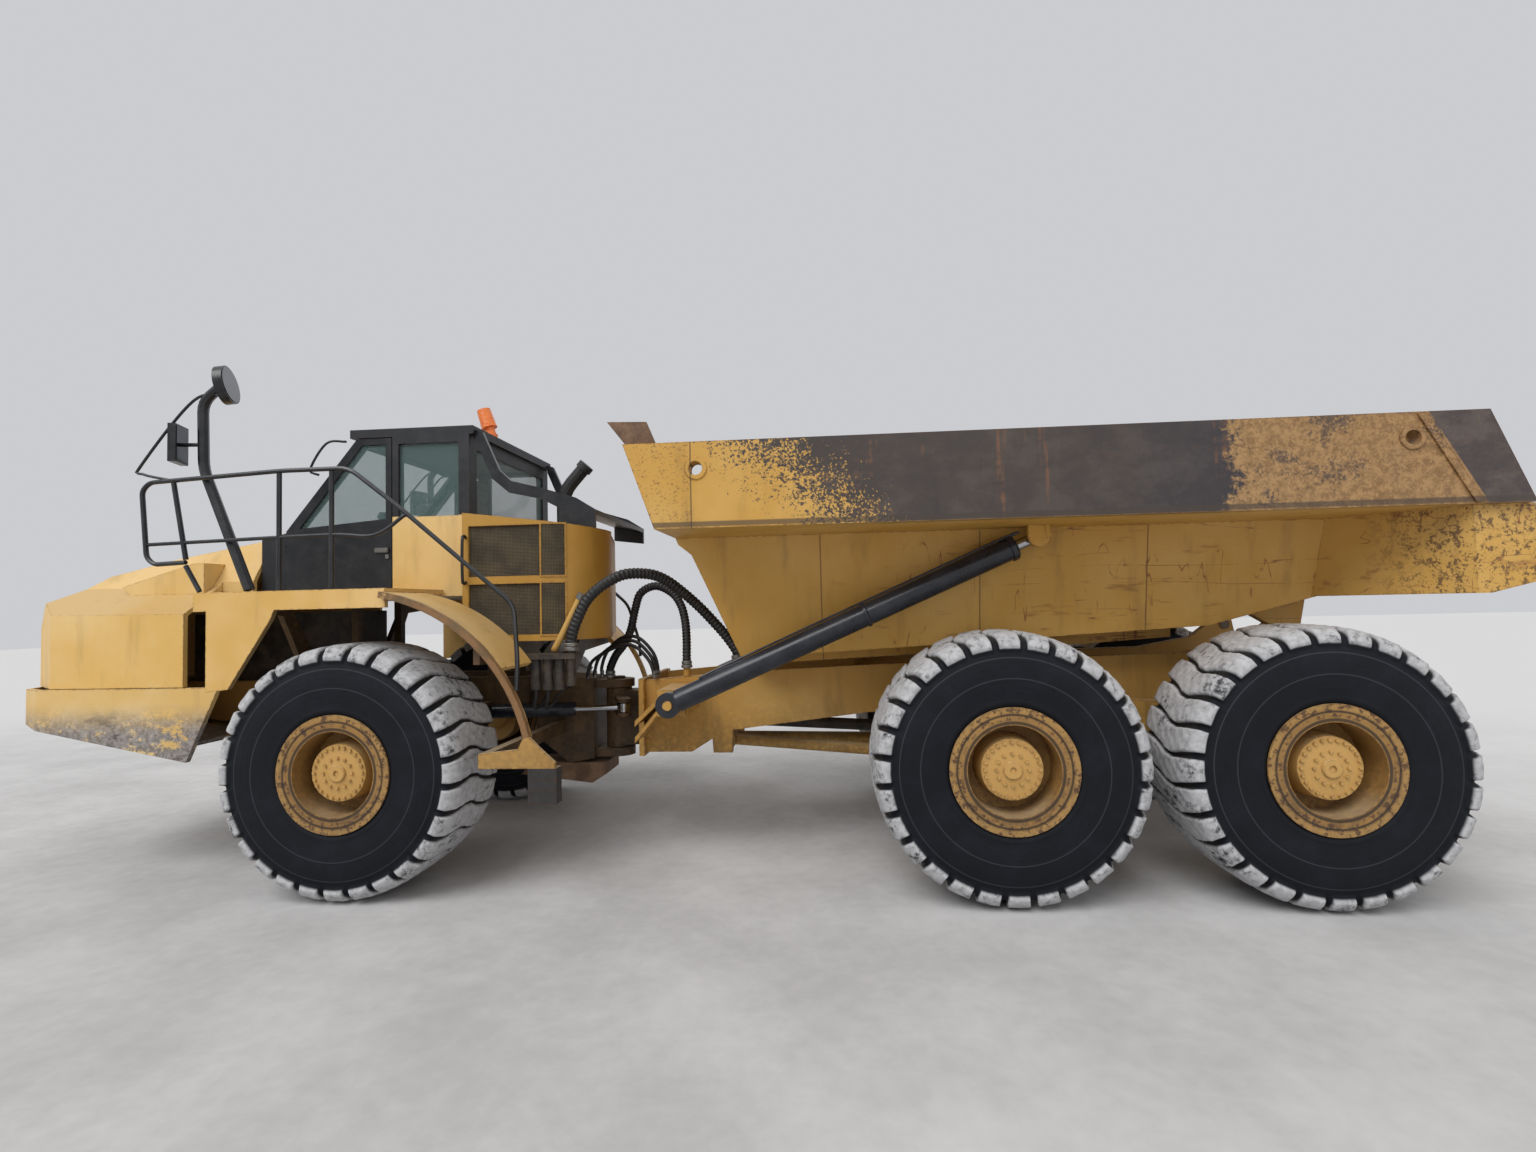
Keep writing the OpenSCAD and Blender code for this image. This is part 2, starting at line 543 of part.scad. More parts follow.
module wheel_at(x, side) at_axle() translate([x, side * wheel_y, hub_z]) rotate([0, 0, side > 0 ? 180 : 0]) children();

// Hitch, rear frame and bogie

hitch_z = 1040;
module hitch() at_axle() color("goldenrod") {
    difference() {
        union() {
            translate([hitch_x, 0, 778]) cylinder(h = 524, r = hitch_radius + 20);
            translate([hitch_x, -110, 800]) cube([240, 220, 480]);
            for (z = [steer_z - 75, steer_z + 45]) both_sides() {
                translate([hitch_x, 0, z]) rotate([0, 0, atan2(steer_eye[1], steer_eye[0] - hitch_x)])
                    translate([0, -55, 0]) cube([norm([steer_eye[0] - hitch_x, steer_eye[1]]), 110, 30]);
                translate([steer_eye[0], steer_eye[1], z]) cylinder(h = 30, r = 60);
            }
        }
    }
    translate([hitch_x, 0, 690]) cylinder(h = 700, r = 60);
    translate([frame_nose - 85, 0, hitch_z]) rotate([0, 90, 0]) cylinder(h = 75, r = 230);
    translate([frame_nose - 85, 0, hitch_z]) rotate([0, 90, 0]) cylinder(h = 330, r = 130);
}
// The front plate of the rear frame stands a little behind the flange of the hitch
frame_nose = hitch_x + 315;
link_z = 835;
hoist_pin_radius = 35;
module rear_frame() at_axle() color("goldenrod") {
    difference() {
        union() {
            both_sides() xz_plate(rear_rail_y - rail_wall, rear_rail_y) {
                polygon([[frame_nose, 800], [frame_nose, 1400], [2740, 1465], [4100, 1515], [6300, 1560],
                    [6750, 1640], [bed_pin_x - 60, bed_pin_z + 70], [bed_pin_x + 60, bed_pin_z + 70],
                    [bed_pin_x + 90, bed_pin_z - 100], [6950, 1250], [6300, 1110], [3790, 1115], [2576, 970], [2300, 800]]);
            }
            translate([frame_nose, -520, 780]) cube([45, 1040, 640]);
            for (x = [2700, 3700, 5500, 6850]) translate([x, -rear_rail_y, 1180]) cube([90, 2 * rear_rail_y, 260]);
            translate([frame_nose, 0, hitch_z]) rotate([0, 90, 0]) cylinder(h = 250, r = 180);
        }
        translate([frame_nose - 10, 0, hitch_z]) rotate([0, 90, 0]) cylinder(h = 400, r = 130 + pin_gap);
        both_sides() y_cylinder([bed_pin_x, bed_pin_z], bed_pin_radius + pin_gap, 0, rear_rail_y + 1);
    }
    fitting(large_route[len(large_route) - 1], 1450, 33);
    fitting(small_route[len(small_route) - 1], 1420, 30);
    both_sides() {
        xz_plate(rear_rail_y - rail_wall, rear_rail_y) polygon([[2470, 980], [2650, 1000], [2640, 790], [2480, 790]]);
        y_cylinder([2560, link_z], 40, 0, rear_rail_y);
        y_cylinder([middle_x + bogie_spread / 2, 1090], 70, rear_rail_y, 760);
        bracket_y = hoist_y - hoist_radius - move_gap;
        translate([hoist_base[0] - 110, rear_rail_y, 1180]) cube([220, bracket_y - rear_rail_y, 200]);
        y_cylinder([hoist_base[0], hoist_base[2]], 60, bracket_y - 1, hoist_y - 50);
        for (z = [940, 1070]) xz_plate(rear_rail_y - 1, bracket_y - 200) polygon([[frame_nose + 40, z],
            [frame_nose + 40, z + 45], [hoist_base[0] - 110, 0.55 * z + 745], [hoist_base[0] - 110, 0.55 * z + 700]]);
        y_cylinder([hoist_base[0], hoist_base[2]], hoist_pin_radius, bracket_y, hoist_y + 70);
    }
}
module walking_beams() at_axle() color("goldenrod") both_sides() difference() {
    xz_plate(620, 740) polygon([[middle_x - 150, hub_z + axle_radius + seat_gap], [middle_x - 120, 1150],
        [middle_x + bogie_spread / 2 - 150, 1230], [middle_x + bogie_spread / 2 + 150, 1230], [rear_x + 120, 1150],
        [rear_x + 150, hub_z + axle_radius + seat_gap], [rear_x - 200, hub_z + axle_radius + seat_gap],
        [middle_x + bogie_spread / 2 + 150, 950], [middle_x + bogie_spread / 2 - 150, 950],
        [middle_x + 200, hub_z + axle_radius + seat_gap]]);
    y_cylinder([middle_x + bogie_spread / 2, 1090], 70 + seat_gap, 600, 800);
}
module rear_axles() at_axle() color("goldenrod") for (x = [middle_x, rear_x]) {
    y_cylinder([x, hub_z], axle_radius, -axle_end_y, axle_end_y);
    translate([x, 0, hub_z]) sphere(r = 240);
    translate([x - 260, 0, hub_z]) rotate([0, 90, 0]) cylinder(h = x < rear_x ? 520 : 260, r = 80);
    both_sides() y_cylinder([x, hub_z], 230, 800, axle_end_y);
}
module drive_shaft() at_axle() color("dimgray") {
    translate([hitch_x + 560 + seat_gap, 0, hitch_z]) rotate([0, 90, 0]) cylinder(h = 60, r = 100);
    bar([hitch_x + 600, 0, hitch_z - 10], [middle_x - 260 - seat_gap - 3, 0, hub_z], 50);
    bar([middle_x + 260 + seat_gap, 0, hub_z], [rear_x - 260 - seat_gap, 0, hub_z], 50);
}
module suspension_links() at_axle() color("goldenrod") {
    difference() {
        union() {
            both_sides() bar([2600, 60, link_z], [middle_x, 420, hub_z - axle_radius - 50 - seat_gap], 50);
            y_cylinder([2560, link_z], 75, -150, 150);
        }
        y_cylinder([2560, link_z], 40 + seat_gap, -200, 200);
    }
}

// Bed

module bed_profile_outer() polygon([[2090, bed_top], [2320, band_z - 50], [2420, 2420], [2780, 1600], [6300, 1790],
    [7200, 2030], [tail_x, 2060], [tail_x, 2300], [tail_x - 60, 2550], [tail_x - 300, bed_top]]);
// The tail flares out from the lower sides, from the first of these x to full width at the second
flare = [6980, 7540];
flare_y = bed_y - 60;
flare_floor = [[flare[0], 1990], [7620, 1990], [tail_x - 20, 2060]];
// Plan of the flare on the left, o inside its outer faces
module flare_plan(o) polygon([[flare[0] + 2 * o, -bed_floor_y - 40], [flare[1] + o, -flare_y + o],
    [tail_x - 20 + (o > 0 ? 40 : 0), -flare_y + o], [tail_x - 20 + (o > 0 ? 40 : 0), -bed_floor_y - 40]]);
module flare_form(o) both_sides() intersection() {
    translate([0, 0, 1900]) linear_extrude(900) flare_plan(o);
    xz_plate(-bed_y, bed_y) polygon([[flare[0], flare_floor[0][1] + o], [flare_floor[1][0], flare_floor[1][1] + o],
        [tail_x - 20, flare_floor[2][1] + o], [tail_x + 30, flare_floor[2][1] + o], [tail_x + 30, band_z + o],
        [flare[0], band_z + o]]);
}
module bed_section_outer() polygon([[-bed_floor_y, 1500], [-bed_side_y, band_z], [-bed_y, band_z], [-bed_y, bed_top],
    [bed_y, bed_top], [bed_y, band_z], [bed_side_y, band_z], [bed_floor_y, 1500]]);
module bed_profile_inner() polygon([[2150, bed_top + 100], [2150, bed_top], [2380, 2500], [2475, 2420],
    [2820, 1600 + bed_wall], [6300, 1790 + bed_wall], [7200, 2030 + bed_wall], [tail_x + 10, 2060 + bed_wall],
    [tail_x + 10, bed_top + 100]]);
module bed_section_inner() polygon([[-bed_floor_y + bed_wall, 1500], [-bed_side_y + bed_wall, band_z + 40],
    [-bed_y + 110, band_z + 300], [-bed_y + 110, bed_top + 100], [bed_y - 110, bed_top + 100],
    [bed_y - 110, band_z + 300], [bed_side_y - bed_wall, band_z + 40], [bed_floor_y - bed_wall, 1500]]);
module bed() at_axle() color("goldenrod") {
    difference() {
        union() {
            intersection() {
                xz_plate(-bed_y, bed_y) bed_profile_outer();
                along_x(2000, tail_x + 10) bed_section_outer();
            }
            flare_form(0);
        }
        flare_form(bed_wall);
        intersection() {
            xz_plate(-bed_y, bed_y) bed_profile_inner();
            along_x(2000, tail_x + 20) bed_section_inner();
        }
        both_sides() for (p = [[2595, 2956], [7160, 2977]]) y_cylinder(p, eye_bore, bed_y - 200, bed_y + 10);
    }
    // Slanted ribs on the band, in front of the tail
    both_sides() xz_plate(bed_y - 5, bed_y + 12)
        polygon([[7190, bed_top - 10], [7245, bed_top - 10], [7560, band_z + 5], [7505, band_z + 5]]);
    both_sides() xz_plate(rear_rail_y + 10, rear_rail_y + 90) {
        polygon([[6700, 1910], [bed_pin_x - 90, bed_pin_z], [bed_pin_x + 90, bed_pin_z], [7200, 2043]]);
        translate([bed_pin_x, bed_pin_z]) circle(r = 90);
    }
    // Longitudinal members under the floor, with the pads that rest on the frame
    both_sides() xz_plate(rear_rail_y - rail_wall, rear_rail_y + 10) polygon([[2900, 1640], [6200, 1800],
        [6200, 1690], [5600, 1650], [2960, 1530]]);
    both_sides() y_cylinder([bed_pin_x, bed_pin_z], bed_pin_radius, rear_rail_y - rail_wall - 10, rear_rail_y + 20);
    both_sides() xz_plate(hoist_y + 55, hoist_y + 95) {
        translate([hoist_eye[0], hoist_eye[2]]) circle(r = 80);
        translate([hoist_eye[0] - 80, hoist_eye[2]]) square([160, band_z - hoist_eye[2]]);
    }
}
module spill_guard() at_axle() color("saddlebrown") {
    xz_plate(-bed_y + 100, bed_y - 100) polygon([[2100, bed_top + seat_gap], [1960, 3320], [1990, 3325], [2140, bed_top + seat_gap]]);
    both_sides() xz_plate(bed_y - 100, bed_y - 80) polygon([[2100, bed_top + seat_gap], [1960, 3320], [2240, 3310], [2310, bed_top + seat_gap]]);
}

// Cylinders: built level along +X from the base pin, then turned to their line

steer_rod_start = 365;
steer_length = norm(steer_eye - steer_base);
hoist_length = norm(hoist_eye - hoist_base);
module steer_place(side) at_axle() mirror([0, side > 0 ? 0 : 1, 0]) translate(steer_base)
    rotate([0, 0, atan2(steer_eye[1] - steer_base[1], steer_eye[0] - steer_base[0])]) children();
module hoist_place(side) at_axle() mirror([0, side > 0 ? 0 : 1, 0]) translate(hoist_base)
    rotate([0, -atan2(hoist_eye[2] - hoist_base[2], hoist_eye[0] - hoist_base[0]), 0]) children();
module steer_barrel() color("black") difference() {
    union() {
        translate([0, 0, -40]) cylinder(h = 80, r = 60);
        translate([0, -45, -38]) cube([100, 90, 76]);
        translate([90, 0, 0]) rotate([0, 90, 0]) cylinder(h = 690, r = steer_radius);
    }
    cylinder(h = 200, r = steer_pin_radius + pin_gap, center = true);
    translate([100, 0, 0]) rotate([0, 90, 0]) cylinder(h = 800, r = steer_rod_radius + pin_gap);
}
module steer_rod() color("silver") {
    translate([steer_rod_start, 0, 0]) rotate([0, 90, 0])
        cylinder(h = steer_length - 40 - steer_rod_start, r = steer_rod_radius);
    translate([steer_length, 0, -36]) cylinder(h = 72, r = 60);
}
module hoist_barrel() color("black") difference() {
    union() {
        y_cylinder([0, 0], 95, -45, 45);
        translate([78, 0, 0]) rotate([0, 90, 0]) cylinder(h = 2732, r = hoist_radius);
    }
    y_cylinder([0, 0], hoist_pin_radius + pin_gap, -60, 60);
    translate([130, 0, 0]) rotate([0, 90, 0]) cylinder(h = 3000, r = hoist_rod_radius + pin_gap);
}
module hoist_rod() color("silver") {
    translate([140, 0, 0]) rotate([0, 90, 0]) cylinder(h = hoist_length - 180, r = hoist_rod_radius);
    y_cylinder([hoist_length, 0], 65, -45, 45);
}

// Hoses over the hitch, swept along their routes
large_route = [[1480, -1050, 1700], [1480, -1050, 1770], [1500, -1062, 1850], [1533, -1070, 1928],
    [1602, -1070, 2065], [1683, -1050, 2160], [1788, -1000, 2240], [1896, -930, 2287], [2040, -800, 2288],
    [2139, -700, 2249], [2233, -620, 2175], [2372, -500, 2035], [2502, -430, 1884], [2615, -405, 1745],
    [2695, -415, 1620], [2695, -415, 1540]];
small_route = [[1500, -100, 1400], [1500, -100, 1480], [1570, -160, 1600], [1660, -205, 1700], [1725, -215, 1830],
    [1770, -225, 2010], [1829, -244, 2150], [1967, -256, 2207], [2111, -267, 2142], [2191, -285, 2035],
    [2235, -330, 1900], [2255, -380, 1750], [2260, -415, 1600], [2260, -415, 1500]];
// The fittings that the hoses are pushed on to, under a hose's first or last point
module fitting(end, foot_z, r) translate([end[0], end[1], foot_z]) cylinder(h = end[2] - seat_gap - foot_z, r = r);
module hose_large() at_axle() color("black") sweep(large_route, 45);
module hose_small() at_axle() color("black") sweep(small_route, 38);

front_frame();
bumper();
engine_block();
front_axle();
fenders();
cab_shell();
cab_glass();
cab_interior();
cooling_enclosure();
cooling_screens();
rear_cowl();
handrails();
mirrors();
beacon();
intake_pipe();
steps();
valve_bank();
sump_guard();
headlamps();
hood();
door();
door_glass();
wheel_at(0, -1) tyre();  // tyre_front_left
wheel_at(0, 1) tyre();  // tyre_front_right
wheel_at(middle_x, -1) tyre();  // tyre_middle_left
wheel_at(middle_x, 1) tyre();  // tyre_middle_right
wheel_at(rear_x, -1) tyre();  // tyre_rear_left
wheel_at(rear_x, 1) tyre();  // tyre_rear_right
wheel_at(0, -1) rim();  // rim_front_left
wheel_at(0, 1) rim();  // rim_front_right
wheel_at(middle_x, -1) rim();  // rim_middle_left
wheel_at(middle_x, 1) rim();  // rim_middle_right
wheel_at(rear_x, -1) rim();  // rim_rear_left
wheel_at(rear_x, 1) rim();  // rim_rear_right
hitch();
rear_frame();
walking_beams();
rear_axles();
drive_shaft();
suspension_links();
bed();
spill_guard();
steer_place(-1) steer_barrel();  // steer_barrel_left
steer_place(-1) steer_rod();  // steer_rod_left
steer_place(1) steer_barrel();  // steer_barrel_right
steer_place(1) steer_rod();  // steer_rod_right
hoist_place(-1) hoist_barrel();  // hoist_barrel_left
hoist_place(-1) hoist_rod();  // hoist_rod_left
hoist_place(1) hoist_barrel();  // hoist_barrel_right
hoist_place(1) hoist_rod();  // hoist_rod_right
hose_large();
hose_small();
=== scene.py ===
# %% [markdown]
# # An articulated dump truck, dressed around its frame
# A dump truck of this kind has a two-wheeled front body and a four-wheeled rear body that meet in a
# hitch. Its solids come ready made from CAD and stay where they are. This lesson adds what CAD leaves
# out: tread, corrugated hoses, bolts, seams, and finishes that show years of work.

import math

import bmesh
import bpy
import numpy as np
from mathutils import Matrix, Vector


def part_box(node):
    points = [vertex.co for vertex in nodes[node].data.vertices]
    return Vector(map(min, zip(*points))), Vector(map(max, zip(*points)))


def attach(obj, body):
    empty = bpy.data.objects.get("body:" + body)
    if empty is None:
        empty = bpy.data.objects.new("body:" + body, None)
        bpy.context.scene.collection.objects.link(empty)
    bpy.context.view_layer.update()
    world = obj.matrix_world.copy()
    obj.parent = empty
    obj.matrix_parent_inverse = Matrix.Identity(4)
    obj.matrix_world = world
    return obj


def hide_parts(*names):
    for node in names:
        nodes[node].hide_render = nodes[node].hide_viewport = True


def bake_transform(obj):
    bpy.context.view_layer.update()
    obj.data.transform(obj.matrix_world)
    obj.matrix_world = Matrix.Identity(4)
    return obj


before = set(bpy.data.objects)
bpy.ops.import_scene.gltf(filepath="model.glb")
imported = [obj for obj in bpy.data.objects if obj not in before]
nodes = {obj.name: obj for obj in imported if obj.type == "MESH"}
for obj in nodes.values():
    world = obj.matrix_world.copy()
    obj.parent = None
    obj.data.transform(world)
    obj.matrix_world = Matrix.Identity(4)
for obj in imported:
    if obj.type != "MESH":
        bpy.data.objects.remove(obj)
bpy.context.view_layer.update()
scene = bpy.context.scene

# %% [markdown]
# ## Camera
# The photograph was taken from beside the hitch with a wide lens, nearly level and turned a little.
# The camera's axes are worked out as vectors, because that keeps yaw, pitch and roll apart.

# %% Place the camera
CAMERA_AT = Vector((1.073, -6.556, 2.015))
YAW, PITCH, ROLL = 0.07987, 0.04022, -0.02297
FOCAL_PIXELS = 727.94
IMAGE_WIDTH, SENSOR = 1536, 36.0

forward = Vector((-math.sin(YAW) * math.cos(PITCH), math.cos(YAW) * math.cos(PITCH), math.sin(PITCH)))
level = Vector((math.cos(YAW), math.sin(YAW), 0))
rise = level.cross(forward)
right = math.cos(ROLL) * level + math.sin(ROLL) * rise
up = math.cos(ROLL) * rise - math.sin(ROLL) * level
camera = bpy.data.objects.new("camera", bpy.data.cameras.new("camera"))
camera.data.sensor_width = SENSOR
camera.data.lens = FOCAL_PIXELS / IMAGE_WIDTH * SENSOR
camera.matrix_world = Matrix.Translation(CAMERA_AT) @ Matrix((right, up, -forward)).transposed().to_4x4()
scene.collection.objects.link(camera)
scene.camera = camera
scene.view_settings.view_transform = "Standard"
print("lens", round(camera.data.lens, 2), "mm")

# %% [markdown]
# ## Finishes as expressions
# Wear is arithmetic on patterns: dust where a face looks up, rust where an edge and a noise meet.
# A small class wraps a socket, so that such a rule is written as a Python expression and each
# operator adds its Math node. Every other node comes from one method.


# %% A socket that can be used in an expression
class Wire:
    """The output of a node, which operators turn into Math nodes."""

    def __init__(self, graph, socket):
        self.graph, self.socket = graph, socket

    def math(self, operation, *values):
        return self.graph.node("ShaderNodeMath", {"operation": operation}, dict(enumerate(values)))

    def __add__(self, other):
        return self.math("ADD", self, other)

    def __sub__(self, other):
        return self.math("SUBTRACT", self, other)

    def __rsub__(self, other):
        return self.math("SUBTRACT", other, self)

    def __mul__(self, other):
        return self.math("MULTIPLY", self, other)

    def __pow__(self, other):
        return self.math("POWER", self, other)

    __radd__, __rmul__ = __add__, __mul__

    def absolute(self):
        return self.math("ABSOLUTE", self)

    def sine(self):
        return self.math("SINE", self)

    def larger(self, other):
        return self.math("MAXIMUM", self, other)

    def smaller(self, other):
        return self.math("MINIMUM", self, other)

    def rise(self, low, high):
        """0 below low and 1 above high, or the other way round where low is the larger."""
        values = {"Value": self, "From Min": low, "From Max": high}
        return self.graph.node("ShaderNodeMapRange", {"interpolation_type": "SMOOTHSTEP"}, values)

    def also(self, output):
        """Another output of the same node."""
        return Wire(self.graph, self.socket.node.outputs[output])


# %% A tree of nodes, for materials and for geometry
class Graph:
    """Adds nodes to a tree by one method."""

    def __init__(self, tree):
        self.tree = tree

    def node(self, kind, settings=None, values=None, output=0):
        made = self.tree.nodes.new(kind)
        for name, value in (settings or {}).items():
            setattr(made, name, value)
        for key, value in (values or {}).items():
            if isinstance(value, Wire):
                self.tree.links.new(value.socket, made.inputs[key])
            else:
                made.inputs[key].default_value = value
        return Wire(self, made.outputs[output])


# %% Colours and the axis that patterns are placed by
AXLE_X = -2.388  # the front axle in the frame; lengths below are counted from it


def spot(x, y, z):
    """A point in the frame, from millimetres behind the front axle, to the right and above ground."""
    return Vector((x / 1000 + AXLE_X, y / 1000, z / 1000))


def srgb(red, green, blue):
    """The linear colour of three numbers from 0 to 255."""
    shares = [value / 255 for value in (red, green, blue)]
    linear = [((share + 0.055) / 1.055) ** 2.4 if share > 0.04 else share / 12.92 for share in shares]
    return (*linear, 1)


# %% [markdown]
# A finish keeps what is constant on the shader's own sockets. What varies goes only to colour,
# roughness, metallic and normal. Patterns sit on Object coordinates, so they move with the part.


# %% The finish of a surface
class Finish(Graph):
    """A material whose patterns are expressions of a place on the truck.

    x, y and z are metres behind the front axle, to the right and above ground. rearward, rightward
    and upward say how far a face looks that way, from -1 to 1.
    """

    def __init__(self, name, **constants):
        self.material = bpy.data.materials.new(name)
        self.material.use_nodes = True
        super().__init__(self.material.node_tree)
        self.shader = self.tree.nodes["Principled BSDF"]
        for key, value in constants.items():
            self.shader.inputs[key.replace("_", " ")].default_value = value
        self.place = self.node("ShaderNodeTexCoord", output="Object")
        parts = self.node("ShaderNodeSeparateXYZ", None, {0: self.place})
        self.x, self.y, self.z = parts - AXLE_X, parts.also(1), parts.also(2)
        facing = self.node("ShaderNodeTexCoord", output="Normal")
        self.rearward = self.node("ShaderNodeSeparateXYZ", None, {0: facing})
        self.rightward, self.upward = self.rearward.also(1), self.rearward.also(2)

    def noise(self, scale, detail, rough=0.55, stretch=(1, 1, 1), shift=(0, 0, 0)):
        """Clouds about 1/scale metres across, drawn out along a direction whose stretch is small."""
        moved = {"Vector": self.place, "Scale": stretch, "Location": shift}
        place = self.node("ShaderNodeMapping", None, moved)
        sizes = {"Vector": place, "Scale": scale, "Detail": detail, "Roughness": rough}
        return self.node("ShaderNodeTexNoise", None, sizes)

    def edges(self, width):
        """1 along an edge of the solid, fading over width metres."""
        soft = self.node("ShaderNodeBevel", {"samples": 4}, {"Radius": width}, "Normal")
        flat = self.node("ShaderNodeNewGeometry", None, None, "Normal")
        dot = {"operation": "DOT_PRODUCT"}
        agree = self.node("ShaderNodeVectorMath", dot, {0: soft, 1: flat}, "Value")
        return (1 - agree).rise(0.01, 0.16)

    def mix(self, amount, under, over):
        """The colour over covers under by amount."""
        return self.node("ShaderNodeMix", {"data_type": "RGBA"}, {0: amount, 6: under, 7: over}, 2)

    def feed(self, **values):
        """Links or sets the shader's sockets, each by its name."""
        for key, value in values.items():
            socket = self.shader.inputs[key.replace("_", " ")]
            if isinstance(value, Wire):
                self.tree.links.new(value.socket, socket)
            else:
                socket.default_value = value

    def bump(self, height, distance):
        return self.node("ShaderNodeBump", None, {"Height": height, "Distance": distance}, "Normal")


# %% [markdown]
# ## Worn yellow paint
# Sun and dust pale the paint on top, dirt runs down its sides, and it chips to a dark primer along
# edges. One function makes every yellow, so that the parts look painted in one shop and worn
# differently: the panels clean, the frame muddy, the wheels brown. The enclosure's yellow is a darker
# copy that paints shade, and the yellow round the hitch is darkened by grease and by painted shade.

# %% Paint
PRIMER = srgb(52, 40, 32)
RUST = srgb(104, 60, 34)
DUST = srgb(188, 172, 142)
MUD = srgb(84, 66, 46)
MUD_LINE = 0.95  # the height in metres about which mud begins to dull the paint


def worn_paint(name, strong, pale, dust, chips, grime, rough, where=None):
    """A painted steel finish. where(finish) may return more layers as (amount, colour) pairs."""
    f = Finish(name, Specular_IOR_Level=0.45)
    broad = f.noise(0.9, 4, 0.6)
    fine = f.noise(26, 5, 0.7)
    specks = f.noise(70, 3, 0.6, shift=(3, 1, 2))
    streaks = f.noise(5.5, 4, 0.6, stretch=(1, 1, 0.16))
    colour = f.mix(broad.rise(0.35, 0.65) * 0.8 + fine * 0.2, strong, pale)
    colour = f.mix(streaks.rise(0.52, 0.78) * grime * 0.75, colour, MUD)
    colour = f.mix((MUD_LINE - f.z).rise(-0.5, 0.45) * grime * fine.rise(0.3, 0.6), colour, MUD)
    for amount, over in where(f) if where else ():
        colour = f.mix(amount, colour, over)
    settled = f.upward.rise(0.35, 0.95) * broad.rise(0.2, 0.6) * dust
    colour = f.mix(settled, colour, DUST)
    edge = f.edges(0.018)
    bare = (edge * fine.rise(0.42, 0.6)).larger(specks.rise(0.74, 0.78) * broad.rise(0.45, 0.7)) * chips
    colour = f.mix(bare, colour, f.mix(specks.rise(0.4, 0.6), PRIMER, RUST))
    f.feed(Base_Color=colour, Roughness=rough + fine * 0.2 + bare * 0.25 + settled * 0.2)
    f.feed(Normal=f.bump(fine * 0.6 - bare * 0.7 + specks * 0.15, 0.0012))
    return f.material


# %% Dirt and grease on the wheels
WHEELS = {"front": 0.0, "middle": 4.640, "rear": 6.606}  # metres behind the front axle
SIDES = {"left": -1, "right": 1}  # which way each side lies along Y
HUB_Z = 0.905  # the hubs' height above ground


def from_axle(f):
    """How far a point lies from the nearest axle's line."""
    reach = [((f.x - axle) ** 2 + (f.z - HUB_Z) ** 2) ** 0.5 for axle in WHEELS.values()]
    return reach[0].smaller(reach[1]).smaller(reach[2])


def wheel_marks(f):
    """Dirt in the two grooves beside the lock ring, and a hub that is cleaner than the rim."""
    out = from_axle(f)
    outer_groove = (out - 0.366).absolute().rise(0.010, 0.004)
    inner_groove = (out - 0.314).absolute().rise(0.014, 0.006)
    grease = f.noise(11, 4, 0.65).rise(0.5, 0.72)
    flakes = f.noise(21, 5, 0.75, shift=(4, 0, 4))
    lip = out.rise(0.32, 0.34) * flakes.rise(0.51, 0.58)
    return [
        (out.rise(0.225, 0.21) * 0.8, srgb(202, 160, 92)),
        (out.rise(0.378, 0.386) * 0.45, srgb(176, 140, 84)),
        (grease * out.rise(0.2, 0.24) * 0.45, srgb(92, 68, 42)),
        (lip * 0.85, srgb(70, 46, 34)),
        (outer_groove.larger(inner_groove) * 0.85, srgb(40, 31, 24)),
    ]


# %% Scrapes, grease, painted shade and rust on the bodies
BUMPER_MIDDLE = 1.26


def bumper_scrapes(f):
    """The lower half of the bumper is scraped to bare and rusted steel."""
    low = (BUMPER_MIDDLE - f.z).rise(-0.12, 0.16)
    scrape = f.noise(4.5, 6, 0.75, stretch=(0.6, 1, 1.5), shift=(2, 0, 3))
    grain = f.noise(38, 4, 0.7)
    bare = low * (scrape + (grain - 0.5) * 0.4).rise(0.38, 0.46)
    steel = f.mix(grain.rise(0.35, 0.65), srgb(146, 146, 150), srgb(98, 94, 94))
    return [(bare * 0.9, steel), (low * scrape.rise(0.56, 0.64) * 0.8, srgb(60, 52, 50))]


def hitch_grease_and_shade(f):
    """The front frame lies in the dark behind the engine and round the hitch: old grease and painted
    shade darken it.
    """
    cake = f.noise(7, 5, 0.7)
    # Darker towards the hitch: caked grease and painted shade.
    thick = ((f.x + 1.4).rise(-0.2, 0.6) * (cake + 0.25)).rise(0.3, 0.62)
    return [(thick * 0.86, f.mix(cake.rise(0.4, 0.65), srgb(40, 33, 28), srgb(84, 64, 44)))]


def arch_rust(f):
    """Rust eats the lip of the arch behind the wheel, and the arch is dark inside."""
    out = (f.x**2 + (f.z - HUB_Z) ** 2) ** 0.5
    flakes = f.noise(8, 6, 0.75, shift=(1, 0, 5))
    behind = (f.x + 0.3).rise(-0.4, 1.2)
    lip = (f.y.absolute() - 1.61).rise(0, 0.07) * out.rise(1.56, 1.40) * behind * 0.5
    eaten = (lip + flakes * 0.55).rise(0.56, 0.68)
    inside = out.rise(1.37, 1.34) * (f.rearward * f.x + f.upward * (f.z - HUB_Z)).rise(-0.3, -0.8)
    return [
        (f.upward.rise(0.5, 0.9) * 0.35, srgb(176, 138, 76)),
        (eaten * 0.85, f.mix(flakes.rise(0.45, 0.65), srgb(108, 70, 44), srgb(60, 44, 36))),
        (inside * 0.75, srgb(58, 46, 34)),
    ]


def hood_top(f):
    """Under the sky, the top of the hood is a shade browner than its sides."""
    return [(f.upward.rise(0.3, 0.9) * 0.55, srgb(176, 140, 80))]


# %% Parts whose colour changes at a line
QUARTER_FRONT = -0.1015  # the front edge of the cab's rear quarter, behind the front axle
GLASS_SILL = 2.815  # the height of its side window's lower edge


